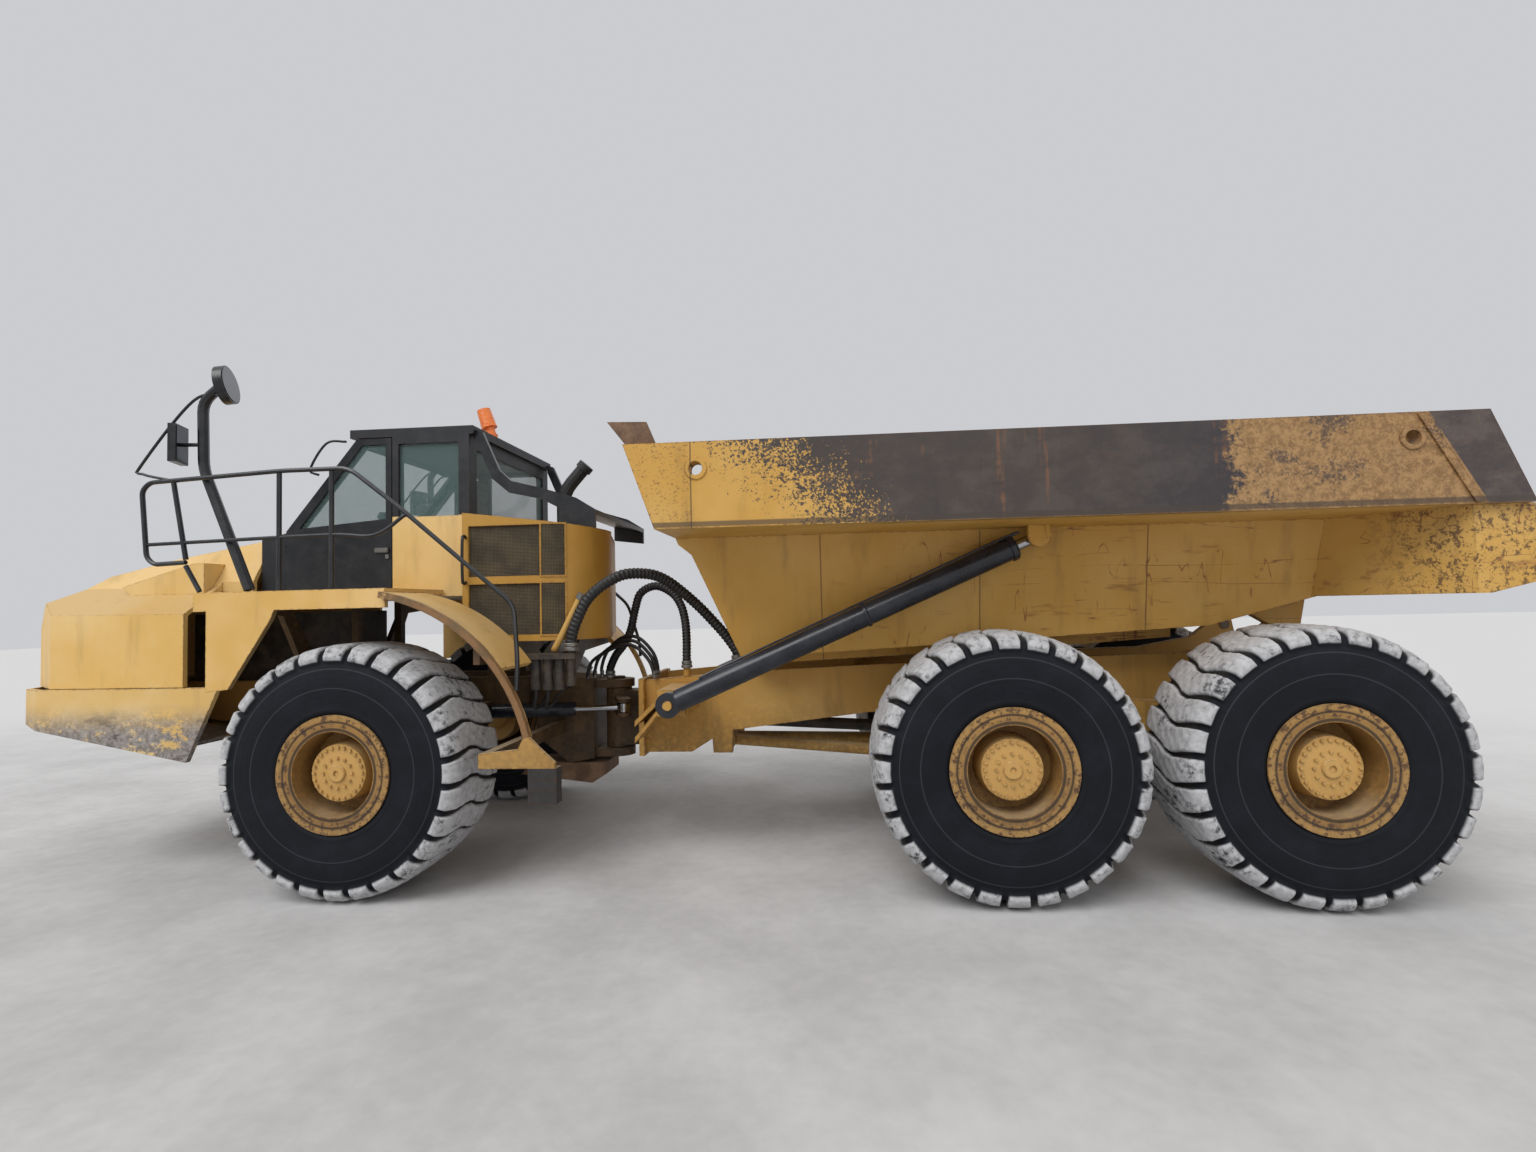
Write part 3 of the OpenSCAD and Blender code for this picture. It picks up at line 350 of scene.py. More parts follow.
def cab_colours(f):
    """The cab is black but for its yellow rear quarter, under the glass."""
    quarter = (f.x - QUARTER_FRONT).rise(0, 0.001) * (GLASS_SILL - f.z).rise(0, 0.001)
    black = f.mix(f.noise(9, 3).rise(0.4, 0.7) * 0.25, srgb(24, 26, 30), srgb(64, 64, 66))
    return [(1 - quarter, black)]


STEP_BRACKET = 0.9405  # the height down to which the lowest step is steel


def step_tread(f):
    """The flexible lowest step is black rubber below its bracket."""
    below = (STEP_BRACKET - f.z).rise(0, 0.001)
    gaps = (f.z * 74).sine().rise(0.86, 0.95)
    scuffed = f.mix(f.noise(20, 3) * 0.6, srgb(28, 28, 30), srgb(72, 68, 64))
    return [(below, scuffed), (below * gaps, PRIMER)]


# %% The yellow paints
panel_yellow = worn_paint(
    "panel paint", srgb(218, 174, 92), srgb(228, 194, 132),
    dust=0.2, chips=0.6, grime=0.35, rough=0.42, where=hood_top,
)
fender_yellow = worn_paint(
    "fender paint", srgb(210, 166, 86), srgb(224, 188, 126),
    dust=0.25, chips=0.9, grime=0.4, rough=0.42, where=arch_rust,
)
frame_yellow = worn_paint(
    "frame paint", srgb(184, 138, 62), srgb(200, 160, 90), dust=0.5, chips=0.9, grime=0.65, rough=0.5
)
# The enclosure's yellow is a darker copy of the panel yellow: painted shade on its rear-facing curve.
enclosure_shaded_yellow = worn_paint(
    "enclosure paint", srgb(170, 124, 44), srgb(184, 140, 62), dust=0.3, chips=0.6, grime=0.4, rough=0.4
)
wheel_yellow = worn_paint(
    "wheel paint", srgb(146, 108, 54), srgb(168, 128, 70),
    dust=0.4, chips=0.7, grime=0.55, rough=0.5, where=wheel_marks,
)
bumper_yellow = worn_paint(
    "bumper paint", srgb(214, 174, 100), srgb(226, 196, 142),
    dust=0.35, chips=0.9, grime=0.3, rough=0.42, where=bumper_scrapes,
)
# A darker copy of the frame's yellow, for grease and painted shade round the hitch.
greasy_shaded_yellow = worn_paint(
    "greasy paint", srgb(150, 108, 48), srgb(172, 132, 70),
    dust=0.5, chips=0.9, grime=0.8, rough=0.5, where=hitch_grease_and_shade,
)
step_yellow = worn_paint(
    "step paint", srgb(160, 116, 50), srgb(182, 142, 78),
    dust=0.6, chips=0.9, grime=0.7, rough=0.5, where=step_tread,
)
cab_paint = worn_paint(
    "cab paint", srgb(214, 172, 92), srgb(226, 192, 130),
    dust=0.3, chips=0.4, grime=0.3, rough=0.4, where=cab_colours,
)
print("materials so far, with the frame's own:", len(bpy.data.materials))

# %% [markdown]
# ## The load bed's steel
# Loads and weather strip the bed's top band: paint is left at its front, the middle is worn to a
# dark skin with rust runs, and its rear is brown. Below, rocks have drawn long red-brown scratches.
# A painted image could hold all this, but noise that is cut at the bed's own lines needs no file and
# stays sharp from near.


# %% Lines on the bed, and the clouds that its wear is cut from
OUTER_SIDE = 1.6  # the sides' outer faces lie further out than this, and their inner faces within it
BAND_LOW, BAND_TOP = 2.545, 3.13  # the heights of the band's edges
FIRST_SEAM = 2.56  # where the band's front plate ends; all lengths are from the front axle
SIDE_SEAMS = (3.42, 4.62, 5.84)
REAR_PLATE, REAR_LEAN = 7.262, 0.548  # where the rear plate begins at the band's top, and how it leans


def bed_clouds(f):
    """Adds to the bed's finish the patterns that several of its layers share."""
    f.grain = f.noise(17, 5, 0.75)
    f.speck = f.noise(62, 4, 0.7, shift=(2, 2, 0))
    f.blot = f.noise(4.2, 5, 0.7, stretch=(0.7, 1, 0.9), shift=(1, 4, 2))
    f.runs = f.noise(5.0, 5, 0.7, stretch=(0.22, 1, 1.5), shift=(6, 0, 2))
    f.rag = f.noise(1.4, 6, 0.72, shift=(5, 0, 1)) - 0.5
    f.crumbs = f.grain * 0.6 + f.speck * 0.4


# %% The worn skin in the middle of the band
def worn_skin(f):
    """A dark skin with rust runs and drips, where the paint has gone."""
    worn = f.mix(f.blot.rise(0.4, 0.66), srgb(40, 41, 50), srgb(62, 59, 62))
    worn = f.mix(f.runs.rise(0.58, 0.72) * 0.45, worn, srgb(92, 66, 52))
    drips = f.noise(4.0, 4, 0.7, stretch=(1.6, 1, 0.1), shift=(2, 0, 8)).rise(0.56, 0.66)
    worn = f.mix(drips * f.blot.rise(0.4, 0.58) * 0.8, worn, srgb(118, 76, 52))
    return f.mix(f.speck.rise(0.62, 0.7) * 0.2, worn, srgb(112, 102, 94))


# %% The whole band
def band_wear(f):
    """The band from its painted front, through the worn field, to its brown rear and last plate."""
    side = (f.y.absolute() - OUTER_SIDE).rise(0, 0.02)
    band = side * (f.z - BAND_LOW).rise(0, 0.01)
    under_top = BAND_TOP - f.z
    # The worn field starts further back at the band's lower edge than at its top
    into = f.x - 2.5 - under_top * 1.1 + f.rag * 1.2
    out_of = 6.1 - f.x + f.rag * 1.6
    begun = into.rise(-0.4, 1.5) * 1.35 + (f.speck - 0.5) * 2.4 + (f.grain - 0.5) * 1.2
    going_on = out_of.rise(-0.4, 0.7) * 1.3 + (f.grain - 0.5) * 0.9 + (f.speck - 0.5) * 0.5
    field = begun.rise(0.5, 0.62) * going_on.rise(0.35, 0.6)
    rear = (0.6 - out_of).rise(-0.3, 0.6)
    browned = f.mix(f.crumbs.rise(0.42, 0.58), srgb(158, 124, 88), srgb(104, 76, 56))
    rear_blots = (f.blot * 0.7 + f.speck * 0.3).rise(0.55, 0.62)
    plate = (f.x - REAR_PLATE - under_top * REAR_LEAN).rise(0, 0.015)
    dark_plate = f.mix(f.blot.rise(0.45, 0.65), srgb(50, 49, 56), srgb(82, 74, 72))
    front = (FIRST_SEAM - f.x).rise(-0.01, 0.01)
    seam = (f.x - FIRST_SEAM).absolute().rise(0.007, 0.002)
    lip = side * (f.z - BAND_LOW - 0.03).absolute().rise(0.024, 0.012)
    return [
        (rear * band * 0.8, browned),
        (rear * band * rear_blots * 0.8, srgb(72, 60, 54)),
        (field * band * 0.95, worn_skin(f)),
        (plate * band * 0.9, dark_plate),
        (front * band * f.speck.rise(0.56, 0.64) * 0.7, srgb(104, 68, 46)),
        (seam * band * 0.8, srgb(70, 54, 40)),
        (lip * 0.75, srgb(64, 54, 46)),
    ]


# %% Scratches and painted shade below the band
def side_wear_and_shade(f):
    """Below the band, rocks have scuffed and scratched the sides, the tail rusts, and faces that look
    down get painted shade.
    """
    lower = (BAND_LOW + 0.003 - f.z).rise(0, 0.01)
    lines = f.noise(6.5, 2, 0.5, stretch=(1, 1, 0.13), shift=(0, 2, 7))
    slashes = (lines - 0.5).absolute().rise(0.012, 0.0) * f.blot.rise(0.5, 0.62)
    scuffs = f.noise(7.0, 3, 0.6, stretch=(0.35, 1, 1.6)).rise(0.6, 0.72) * (f.x - 3.6).rise(-0.4, 0.6)
    first, second, third = [(f.x - seam_x).absolute() for seam_x in SIDE_SEAMS]
    seams = first.smaller(second).smaller(third).rise(0.008, 0.002)
    drawn = f.noise(3.0, 2, 0.5, stretch=(0.16, 1, 2.2), shift=(3, 0, 5))
    long_marks = (drawn - 0.5).absolute().rise(0.010, 0.0) * f.blot.rise(0.46, 0.56)
    long_marks = long_marks * (f.x - 4.6).rise(-0.6, 0.8)
    tail_rust = (f.x - 7.15).rise(0, 0.3) * f.crumbs.rise(0.5, 0.56)
    return [
        # Painted shade: faces that look down are darkened toward a deep gold.
        (lower * (f.upward + 0.2).rise(0.1, -0.4) * 0.25, srgb(96, 70, 34)),
        (lower * scuffs * 0.5, srgb(124, 70, 38)),
        (lower * seams * 0.7, srgb(84, 58, 34)),
        (lower * long_marks * 0.7, srgb(110, 54, 36)),
        (lower * tail_rust * 0.8, srgb(74, 50, 38)),
        (lower * slashes * (f.x - 3.3).rise(0, 0.8) * 0.75, srgb(116, 52, 34)),
    ]


# %% The scoured inside
def inside_wear(f):
    """Inside, loads have scoured the walls and the floor down to brown steel."""
    across = (f.rightward * f.y).rise(-0.05, -0.3)
    inward = across.larger(f.upward.rise(0.2, 0.4)).larger(f.rearward.rise(0.3, 0.5))
    inside = (OUTER_SIDE - f.y.absolute()).rise(0, 0.01) * inward
    kept_paint = (f.grain * 0.5 + f.rag + 0.35).rise(0.72, 0.8) * 0.7
    scoured = f.mix(f.blot.rise(0.4, 0.65), srgb(112, 104, 97), srgb(82, 74, 70))
    scoured = f.mix(f.runs.rise(0.55, 0.7) * 0.5, scoured, srgb(104, 74, 54))
    gouges = f.noise(3.5, 5, 0.7, stretch=(0.2, 1.3, 1), shift=(8, 1, 0)) - 0.5
    scoured = f.mix(gouges.absolute().rise(0.012, 0.0) * 0.45, scoured, srgb(152, 148, 144))
    return [(inside * (1 - kept_paint), scoured)]


# %% Bed paint
def bed_wear_and_shade(f):
    """All the layers of the bed's wear and painted shade, from the lowest to the uppermost."""
    bed_clouds(f)
    return inside_wear(f) + band_wear(f) + side_wear_and_shade(f)


bed_paint = worn_paint(
    "bed paint", srgb(196, 148, 62), srgb(208, 166, 92),
    dust=0.3, chips=0.9, grime=0.45, rough=0.45, where=bed_wear_and_shade,
)
print("nodes in the bed's paint:", len(bed_paint.node_tree.nodes))

# %% [markdown]
# ## Dark, bare and clear finishes
# Black paint greys with dust, cast parts are greasy, rubber is matt, and glass is a thin tinted
# sheet that mostly shows what is behind it. The dull ones share a function, because they differ only
# in colour, grain and gloss. The others each have one rule of their own.


# %% Plain finishes with their own grain
def dusty(name, dark, pale, rough, amount, scale=9, distance=0.0008, **constants):
    """A dark finish under a pale film, with grit whose bump is distance metres high."""
    f = Finish(name, **constants)
    cloud = f.noise(scale, 4, 0.6)
    grit = f.noise(scale * 7, 3, 0.6)
    cover = (cloud.rise(0.35, 0.75) * 0.7 + f.upward.rise(0.3, 0.95) * 0.5).smaller(1) * amount
    colour = f.mix(cover + grit.rise(0.55, 0.75) * amount * 0.3, dark, pale)
    f.feed(Base_Color=colour, Roughness=rough + cover * 0.3, Normal=f.bump(grit, distance))
    return f.material


black_paint = dusty("black paint", srgb(20, 22, 27), srgb(74, 73, 72), 0.3, 0.3)
barrel_paint = dusty("barrel paint", srgb(24, 27, 35), srgb(70, 73, 82), 0.26, 0.4, 5)
cast = dusty("greasy castings", srgb(38, 34, 31), srgb(98, 84, 66), 0.5, 0.8, 12, 0.002)
brown_steel = dusty("rusty steel", srgb(92, 66, 48), srgb(150, 122, 96), 0.7, 0.9, 8, 0.002)
interior = dusty("cab plastic", srgb(30, 31, 33), srgb(66, 66, 66), 0.6, 0.4)
hose_rubber = dusty("hose rubber", srgb(22, 22, 24), srgb(70, 68, 66), 0.5, 0.45, 14)
steel = dusty("pale steel", srgb(120, 118, 114), srgb(172, 168, 160), 0.35, 0.6, 14, Metallic=0.7)
rod_chrome = dusty(
    "rod chrome", srgb(178, 180, 184), srgb(140, 136, 128), 0.12, 0.3, 8, 0.0002, Metallic=1.0
)
primer = dusty("worn edge", srgb(46, 38, 34), srgb(92, 64, 46), 0.7, 0.8, 18, 0.002)


# %% Glass and lamp lenses
def clear(name, tint, alpha):
    """A tinted sheet with a thin uneven film of dust."""
    f = Finish(name, IOR=1.5)
    film = f.noise(2.2, 5, 0.6)
    f.feed(Base_Color=f.mix(film * 0.3, tint, srgb(96, 104, 104)))
    f.feed(Alpha=alpha + film.rise(0.5, 0.8) * 0.05, Roughness=0.04 + film.rise(0.45, 0.8) * 0.08)
    return f.material


glass = clear("tinted glass", srgb(118, 148, 146), 0.26)
lens = clear("lamp lens", srgb(206, 210, 214), 0.75)


# %% The beacon's plastic
def amber_plastic():
    """The beacon's ribbed plastic, which glows a little."""
    f = Finish("amber plastic", Coat_Weight=0.6)
    ribs = (f.z * 520).sine()
    f.feed(Base_Color=f.mix(f.noise(20, 3), srgb(214, 96, 16), srgb(240, 136, 40)), Roughness=0.25)
    f.feed(Normal=f.bump(ribs, 0.001), Emission_Color=srgb(200, 80, 10), Emission_Strength=0.12)
    return f.material


amber = amber_plastic()

# %% Wire mesh of the screens
MESH_PITCH = 0.011  # metres from wire to wire


def woven_mesh():
    """Fine wire mesh: a grid of holes painted dark, as painted shade of the enclosure behind."""
    f = Finish("wire mesh")
    wave = 2 * math.pi / MESH_PITCH
    wires = (f.x * wave).sine().larger((f.z * wave).sine())
    clean = f.mix(f.noise(7, 4).rise(0.3, 0.7), srgb(74, 62, 42), srgb(102, 88, 62))
    f.feed(Base_Color=f.mix(wires.rise(0.1, 0.5), srgb(22, 20, 18), clean), Roughness=0.6)
    f.feed(Normal=f.bump(wires, 0.003))
    return f.material


mesh_screen = woven_mesh()
print("materials, with the frame's own:", len(bpy.data.materials))

# %% [markdown]
# The CAD nodes that keep their own shape now get these finishes, each by its name.

# %% Paint the CAD nodes
FINISH_OF = {
    panel_yellow: "hood",
    fender_yellow: "fenders",
    enclosure_shaded_yellow: "cooling_enclosure",
    greasy_shaded_yellow: "front_frame hitch",
    bumper_yellow: "bumper",
    step_yellow: "steps",
    frame_yellow: "rear_frame walking_beams suspension_links",
    wheel_yellow: "front_axle rear_axles rim_front_left rim_front_right rim_middle_left rim_middle_right"
    " rim_rear_left rim_rear_right",
    cab_paint: "cab_shell",
    bed_paint: "bed",
    black_paint: "rear_cowl handrails mirrors door",
    barrel_paint: "steer_barrel_left steer_barrel_right hoist_barrel_left hoist_barrel_right",
    rod_chrome: "steer_rod_left steer_rod_right hoist_rod_left hoist_rod_right",
    cast: "engine_block valve_bank drive_shaft",
    brown_steel: "sump_guard spill_guard",
    interior: "cab_interior intake_pipe",
    glass: "cab_glass door_glass",
    lens: "headlamps",
    amber: "beacon",
    mesh_screen: "cooling_screens",
    hose_rubber: "hose_large hose_small",
}
for finish, names in FINISH_OF.items():
    for name in names.split():
        nodes[name].data.materials.clear()
        nodes[name].data.materials.append(finish)
print("nodes with a finish:", sum(len(names.split()) for names in FINISH_OF.values()))

# %% [markdown]
# ## Helpers for new pieces
# A new piece is a plain mesh at the origin, with its place in its points. It rides on a body of the
# frame and takes a finish.


# %% A piece from points and faces
def add(name, mesh, body, finish, smooth=True):
    """A piece of the truck, which rides on a body when one is given."""
    mesh.materials.clear()
    mesh.materials.append(finish)
    mesh.polygons.foreach_set("use_smooth", [smooth] * len(mesh.polygons))
    piece = bpy.data.objects.new(name, mesh)
    scene.collection.objects.link(piece)
    if body:
        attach(piece, body)
    return piece


def mesh_of(name, points, faces):
    """A mesh from lists of points and faces."""
    mesh = bpy.data.meshes.new(name)
    mesh.from_pydata([tuple(p) for p in points], [], [tuple(f) for f in faces])
    mesh.update()
    return mesh


def joined(name, parts):
    """One mesh from several (points, faces) pairs."""
    points, faces = [], []
    for some, these in parts:
        faces += [[i + len(points) for i in face] for face in these]
        points += [tuple(p) for p in some]
    return mesh_of(name, points, faces)


# %% Swept tubes, with a radius that may change along them
def smooth_route(route, step):
    """Points about a step apart on a smooth curve through the route's points, and how far each lies."""
    route = [Vector(p) for p in route]
    ends = [2 * route[0] - route[1], *route, 2 * route[-1] - route[-2]]
    fine = []
    for a, b, c, d in zip(ends, ends[1:], ends[2:], ends[3:]):
        for t in np.linspace(0, 1, 40, endpoint=False):
            bend = 2 * a - 5 * b + 4 * c - d
            twist = 3 * b - a - 3 * c + d
            fine.append(0.5 * (2 * b + (c - a) * t + bend * t**2 + twist * t**3))
    fine.append(route[-1])
    fine = np.array([tuple(p) for p in fine])
    far = np.concatenate([[0], np.cumsum(np.linalg.norm(np.diff(fine, axis=0), axis=1))])
    at = np.linspace(0, far[-1], max(3, int(far[-1] / step) + 1))
    return np.stack([np.interp(at, far, fine[:, i]) for i in range(3)], 1), at


def tube(path, radius, sides):
    """Points and faces of a closed tube; radius is a number or one for each point of the path."""
    path = np.asarray(path, float)
    radius = np.broadcast_to(radius, len(path))
    tangent = np.gradient(path, axis=0)
    tangent /= np.linalg.norm(tangent, axis=1)[:, None]
    side = np.cross(tangent[0], (0.13, 0.27, 0.95))
    points, angle = [], np.linspace(0, 2 * math.pi, sides, endpoint=False)
    for p, t, r in zip(path, tangent, radius):
        side = side - t * side.dot(t)
        side /= np.linalg.norm(side)
        other = np.cross(t, side)
        points += [p + r * (math.cos(a) * side + math.sin(a) * other) for a in angle]
    last = (len(path) - 1) * sides
    faces = []
    for i in range(0, last, sides):
        for k in range(sides):
            nxt = (k + 1) % sides
            faces.append((i + k, i + nxt, i + sides + nxt, i + sides + k))
    return points, [*faces, tuple(range(sides - 1, -1, -1)), tuple(range(last, last + sides))]


# %% Blocks and rings
def block(low, high, bevel):
    """Points and faces of a box with bevelled edges."""
    made = bmesh.new()
    low, high = Vector(low), Vector(high)
    bmesh.ops.create_cube(made, size=1)
    for vert in made.verts:
        vert.co = Vector(v * (h - a) + (h + a) / 2 for v, a, h in zip(vert.co, low, high))
    bmesh.ops.bevel(made, geom=made.edges[:], offset=bevel, segments=2, affect="EDGES")
    made.verts.index_update()
    result = [v.co.copy() for v in made.verts], [[v.index for v in f.verts] for f in made.faces]
    made.free()
    return result


def ring(centre, axis, inner, outer, depth, sides=32):
    """Points and faces of a flat ring that stands depth along its axis."""
    centre, axis = Vector(centre), Vector(axis).normalized()
    side = axis.orthogonal().normalized()
    other = axis.cross(side)
    profile = [(inner, 0), (outer, 0), (outer, depth * 0.7), (outer - depth * 0.3, depth), (inner, depth)]
    points, faces, n = [], [], len(profile)
    for k in range(sides):
        a = 2 * math.pi * k / sides
        out = side * math.cos(a) + other * math.sin(a)
        points += [centre + out * r + axis * h for r, h in profile]
        nxt = (k + 1) % sides
        faces += [(k * n + i, nxt * n + i, nxt * n + (i + 1) % n, k * n + (i + 1) % n) for i in range(n)]
    return points, faces


# %% [markdown]
# ## A tree for what repeats
# Bolts stand in rings. They could be copied one by one in Python, but a tree of nodes keeps their
# count and sizes as named inputs that can be changed by hand. It instances a small solid on the
# points of a circle, realises the copies and sets their material. Its result is made a plain mesh.


# %% A tree with named inputs, and what ends it
def geometry_tree(name, inputs):
    """An empty tree with named inputs, as a Graph and the wires that leave the inputs."""
    tree = bpy.data.node_groups.new(name, "GeometryNodeTree")
    for title, kind, value in inputs:
        socket = tree.interface.new_socket(title, in_out="INPUT", socket_type="NodeSocket" + kind)
        if value is not None:
            socket.default_value = value
    tree.interface.new_socket("Geometry", in_out="OUTPUT", socket_type="NodeSocketGeometry")
    graph = Graph(tree)
    start = graph.node("NodeGroupInput")
    return graph, {title: start.also(title) for title, _, _ in inputs}


def finish_tree(graph, points, solid, ports):
    """Sets the solid on the points, realises it, and gives it its place and finish."""
    copies = graph.node("GeometryNodeInstanceOnPoints", None, {"Points": points, "Instance": solid})
    real = graph.node("GeometryNodeRealizeInstances", None, {"Geometry": copies})
    turn = {"Geometry": real, "Rotation": ports["Turn"], "Translation": ports["Place"]}
    placed = graph.node("GeometryNodeTransform", None, turn)
    done = graph.node("GeometryNodeSetMaterial", None, {"Geometry": placed, "Material": ports["Finish"]})
    end = graph.tree.nodes.new("NodeGroupOutput")
    graph.tree.links.new(done.socket, end.inputs[0])
    return graph.tree


# %% The bolt ring's tree
BOLT_INPUTS = [
    ("Count", "Int", 12),
    ("Ring radius", "Float", 0.2),
    ("Bolt radius", "Float", 0.012),
    ("Height", "Float", 0.01),
    ("Turn", "Vector", (0, 0, 0)),
    ("Place", "Vector", (0, 0, 0)),
    ("Finish", "Material", None),
]
graph, port = geometry_tree("bolt ring", BOLT_INPUTS)
around = {"Vertices": port["Count"], "Radius": port["Ring radius"]}
circle = graph.node("GeometryNodeMeshCircle", None, around)
hexagon = {"Vertices": 6, "Radius": port["Bolt radius"], "Depth": port["Height"]}
bolt = graph.node("GeometryNodeMeshCylinder", None, hexagon)
bolt_ring = finish_tree(graph, circle, bolt, port)
print("nodes in the bolt ring's tree:", len(bolt_ring.nodes))


# %% A plain mesh from a tree
def grow(tree, **values):
    """Points and faces of what a tree makes with these inputs."""
    holder = bpy.data.objects.new("holder", bpy.data.meshes.new("holder"))
    scene.collection.objects.link(holder)
    modifier = holder.modifiers.new("tree", "NODES")
    modifier.node_group = tree
    for item in tree.interface.items_tree:
        if item.in_out == "INPUT" and item.name.replace(" ", "_") in values:
            modifier[item.identifier] = values[item.name.replace(" ", "_")]
    seen = holder.evaluated_get(bpy.context.evaluated_depsgraph_get())
    mesh = bpy.data.meshes.new_from_object(seen)
    result = [v.co.copy() for v in mesh.vertices], [list(p.vertices) for p in mesh.polygons]
    bpy.data.objects.remove(holder)
    bpy.data.meshes.remove(mesh)
    return result


# %% [markdown]
# ## Tyres
# The tread of these tyres has bars that bend twice on their way across, parted by grooves that are
# open at both shoulders. Instanced lugs would leave a joint where each meets the casing. A tyre is
# therefore one grid round the wheel: each point starts on the casing and is raised by the lug's
# height, unless it lies near a groove. How far it is raised is stored in an attribute, which the
# material reads to pale the lugs.

# %% The form of a tyre
LUGS = 28
STEPS = 20  # points round the wheel for each lug
ROWS = 31  # rows of points from the tread's middle to its shoulder
TYRE_RADIUS = 0.905
HALF_WIDTH = 0.3716
LUG_HEIGHT = 0.043
LUG_END = 0.392  # how far from the tread's middle a lug ends, along the casing
PITCH = 2 * math.pi * TYRE_RADIUS / LUGS
# (distance from the tyre's middle plane, radius) along the casing
SHOULDER = [
    (0.0, 0.861), (0.1, 0.860), (0.2, 0.857), (0.27, 0.851), (0.31, 0.838), (0.334, 0.812), (0.342, 0.78)
]
WALL = [
    (0.343, 0.775), (0.349, 0.76), (0.357, 0.74), (0.366, 0.7), (0.371, 0.64), (0.3715, 0.58),
    (0.368, 0.52), (0.363, 0.47), (0.3625, 0.462), (0.366, 0.455), (0.362, 0.442), (0.354, 0.42),
    (0.342, 0.414), (0.342, 0.3184),
]
# (place round the wheel, place across the tread, half the groove's width) along a groove
GROOVE = [
    (0.105, -0.46, 0.029), (0.105, -0.34, 0.022), (0.143, -0.13, 0.011), (0.13, -0.04, 0.009),
    (0.093, 0.04, 0.009), (0.067, 0.13, 0.011), (0.033, 0.34, 0.022), (0.033, 0.46, 0.029),
]
print("a lug every", round(PITCH, 3), "m")


# %% Where grooves and rows lie
def from_groove(along, across):
    """How far points of the tread lie outside the nearest groove."""
    nearest = np.full(along.shape, 9.0)
    for shift in (-PITCH, 0, PITCH, 2 * PITCH):
        for (u0, v0, w0), (u1, v1, w1) in zip(GROOVE, GROOVE[1:]):
            du, dv = u1 - u0, v1 - v0
            t = np.clip(((along - u0 - shift) * du + (across - v0) * dv) / (du * du + dv * dv), 0, 1)
            gap = np.hypot(along - u0 - shift - t * du, across - v0 - t * dv) - (w0 + t * (w1 - w0))
            nearest = np.minimum(nearest, gap)
    return nearest


def tread_rows():
    """(width, radius, distance across, lean of the lug) for rows from one shoulder to the other."""
    y, r = np.array(SHOULDER).T
    far = np.concatenate([[0], np.cumsum(np.hypot(np.diff(y), np.diff(r)))])
    at = np.linspace(0, far[-1], ROWS)
    rows = np.stack([np.interp(at, far, y), np.interp(at, far, r), at], 1)
    lean = np.clip((at - 0.28) / 0.12, 0, 1) * math.radians(58)
    half = np.column_stack([rows, lean])
    mirrored = half[:0:-1] * (-1, 1, -1, -1)
    return np.vstack([mirrored, half])


# %% The mesh of a tyre
def tyre_mesh(name, centre, seed):
    """A tyre round a centre; the seed varies how its lugs have worn."""
    count = LUGS * STEPS
    angle = np.arange(count) * 2 * math.pi / count
    rows = tread_rows()
    along = (np.arange(count) % STEPS) / STEPS * PITCH
    ragged = 0.35 + 0.3 * np.sin(angle * 37 + seed) + 0.35 * np.sin(angle * 91 + 2 * seed)
    grid, lug = [], []
    wall = np.array(WALL)
    for y, r in wall[::-1]:
        grid.append((np.full(count, -y), np.full(count, r)))
        lug.append(np.zeros(count))
    for y, r, across, lean in rows:
        gap = from_groove(along, np.full(count, across))
        rise = np.clip((gap + 0.004) / 0.011, 0, 1)
        end = LUG_END + 0.016 * ragged
        rise = rise * np.clip((end - abs(across)) / 0.008, 0, 1)
        high = rise * (LUG_HEIGHT + 0.0015 * np.sin(angle * 53 + across * 60 + seed))
        wide = np.clip(y + high * math.sin(lean), -HALF_WIDTH, HALF_WIDTH)
        tall = np.minimum(r + high * math.cos(lean), TYRE_RADIUS - 0.0002)
        grid.append((wide, tall))
        lug.append(rise)
    for y, r in wall:
        grid.append((np.full(count, y), np.full(count, r)))
        lug.append(np.zeros(count))
    wide = np.array([g[0] for g in grid])
    tall = np.array([g[1] for g in grid])
    back, lift = tall * np.cos(angle), tall * np.sin(angle)
    points = np.stack([centre.x + back, centre.y + wide, centre.z + lift], 2)
    n = len(grid)
    i, k = np.meshgrid(np.arange(n), np.arange(count), indexing="ij")
    nxt, kn = (i + 1) % n, (k + 1) % count
    faces = np.stack([i * count + k, i * count + kn, nxt * count + kn, nxt * count + k], 2).reshape(-1, 4)
    mesh = bpy.data.meshes.new(name)
    mesh.from_pydata(points.reshape(-1, 3).tolist(), [], faces.tolist())
    layer = mesh.attributes.new("lug", "FLOAT", "POINT")
    layer.data.foreach_set("value", np.array(lug).ravel())
    mesh.update()
    return mesh


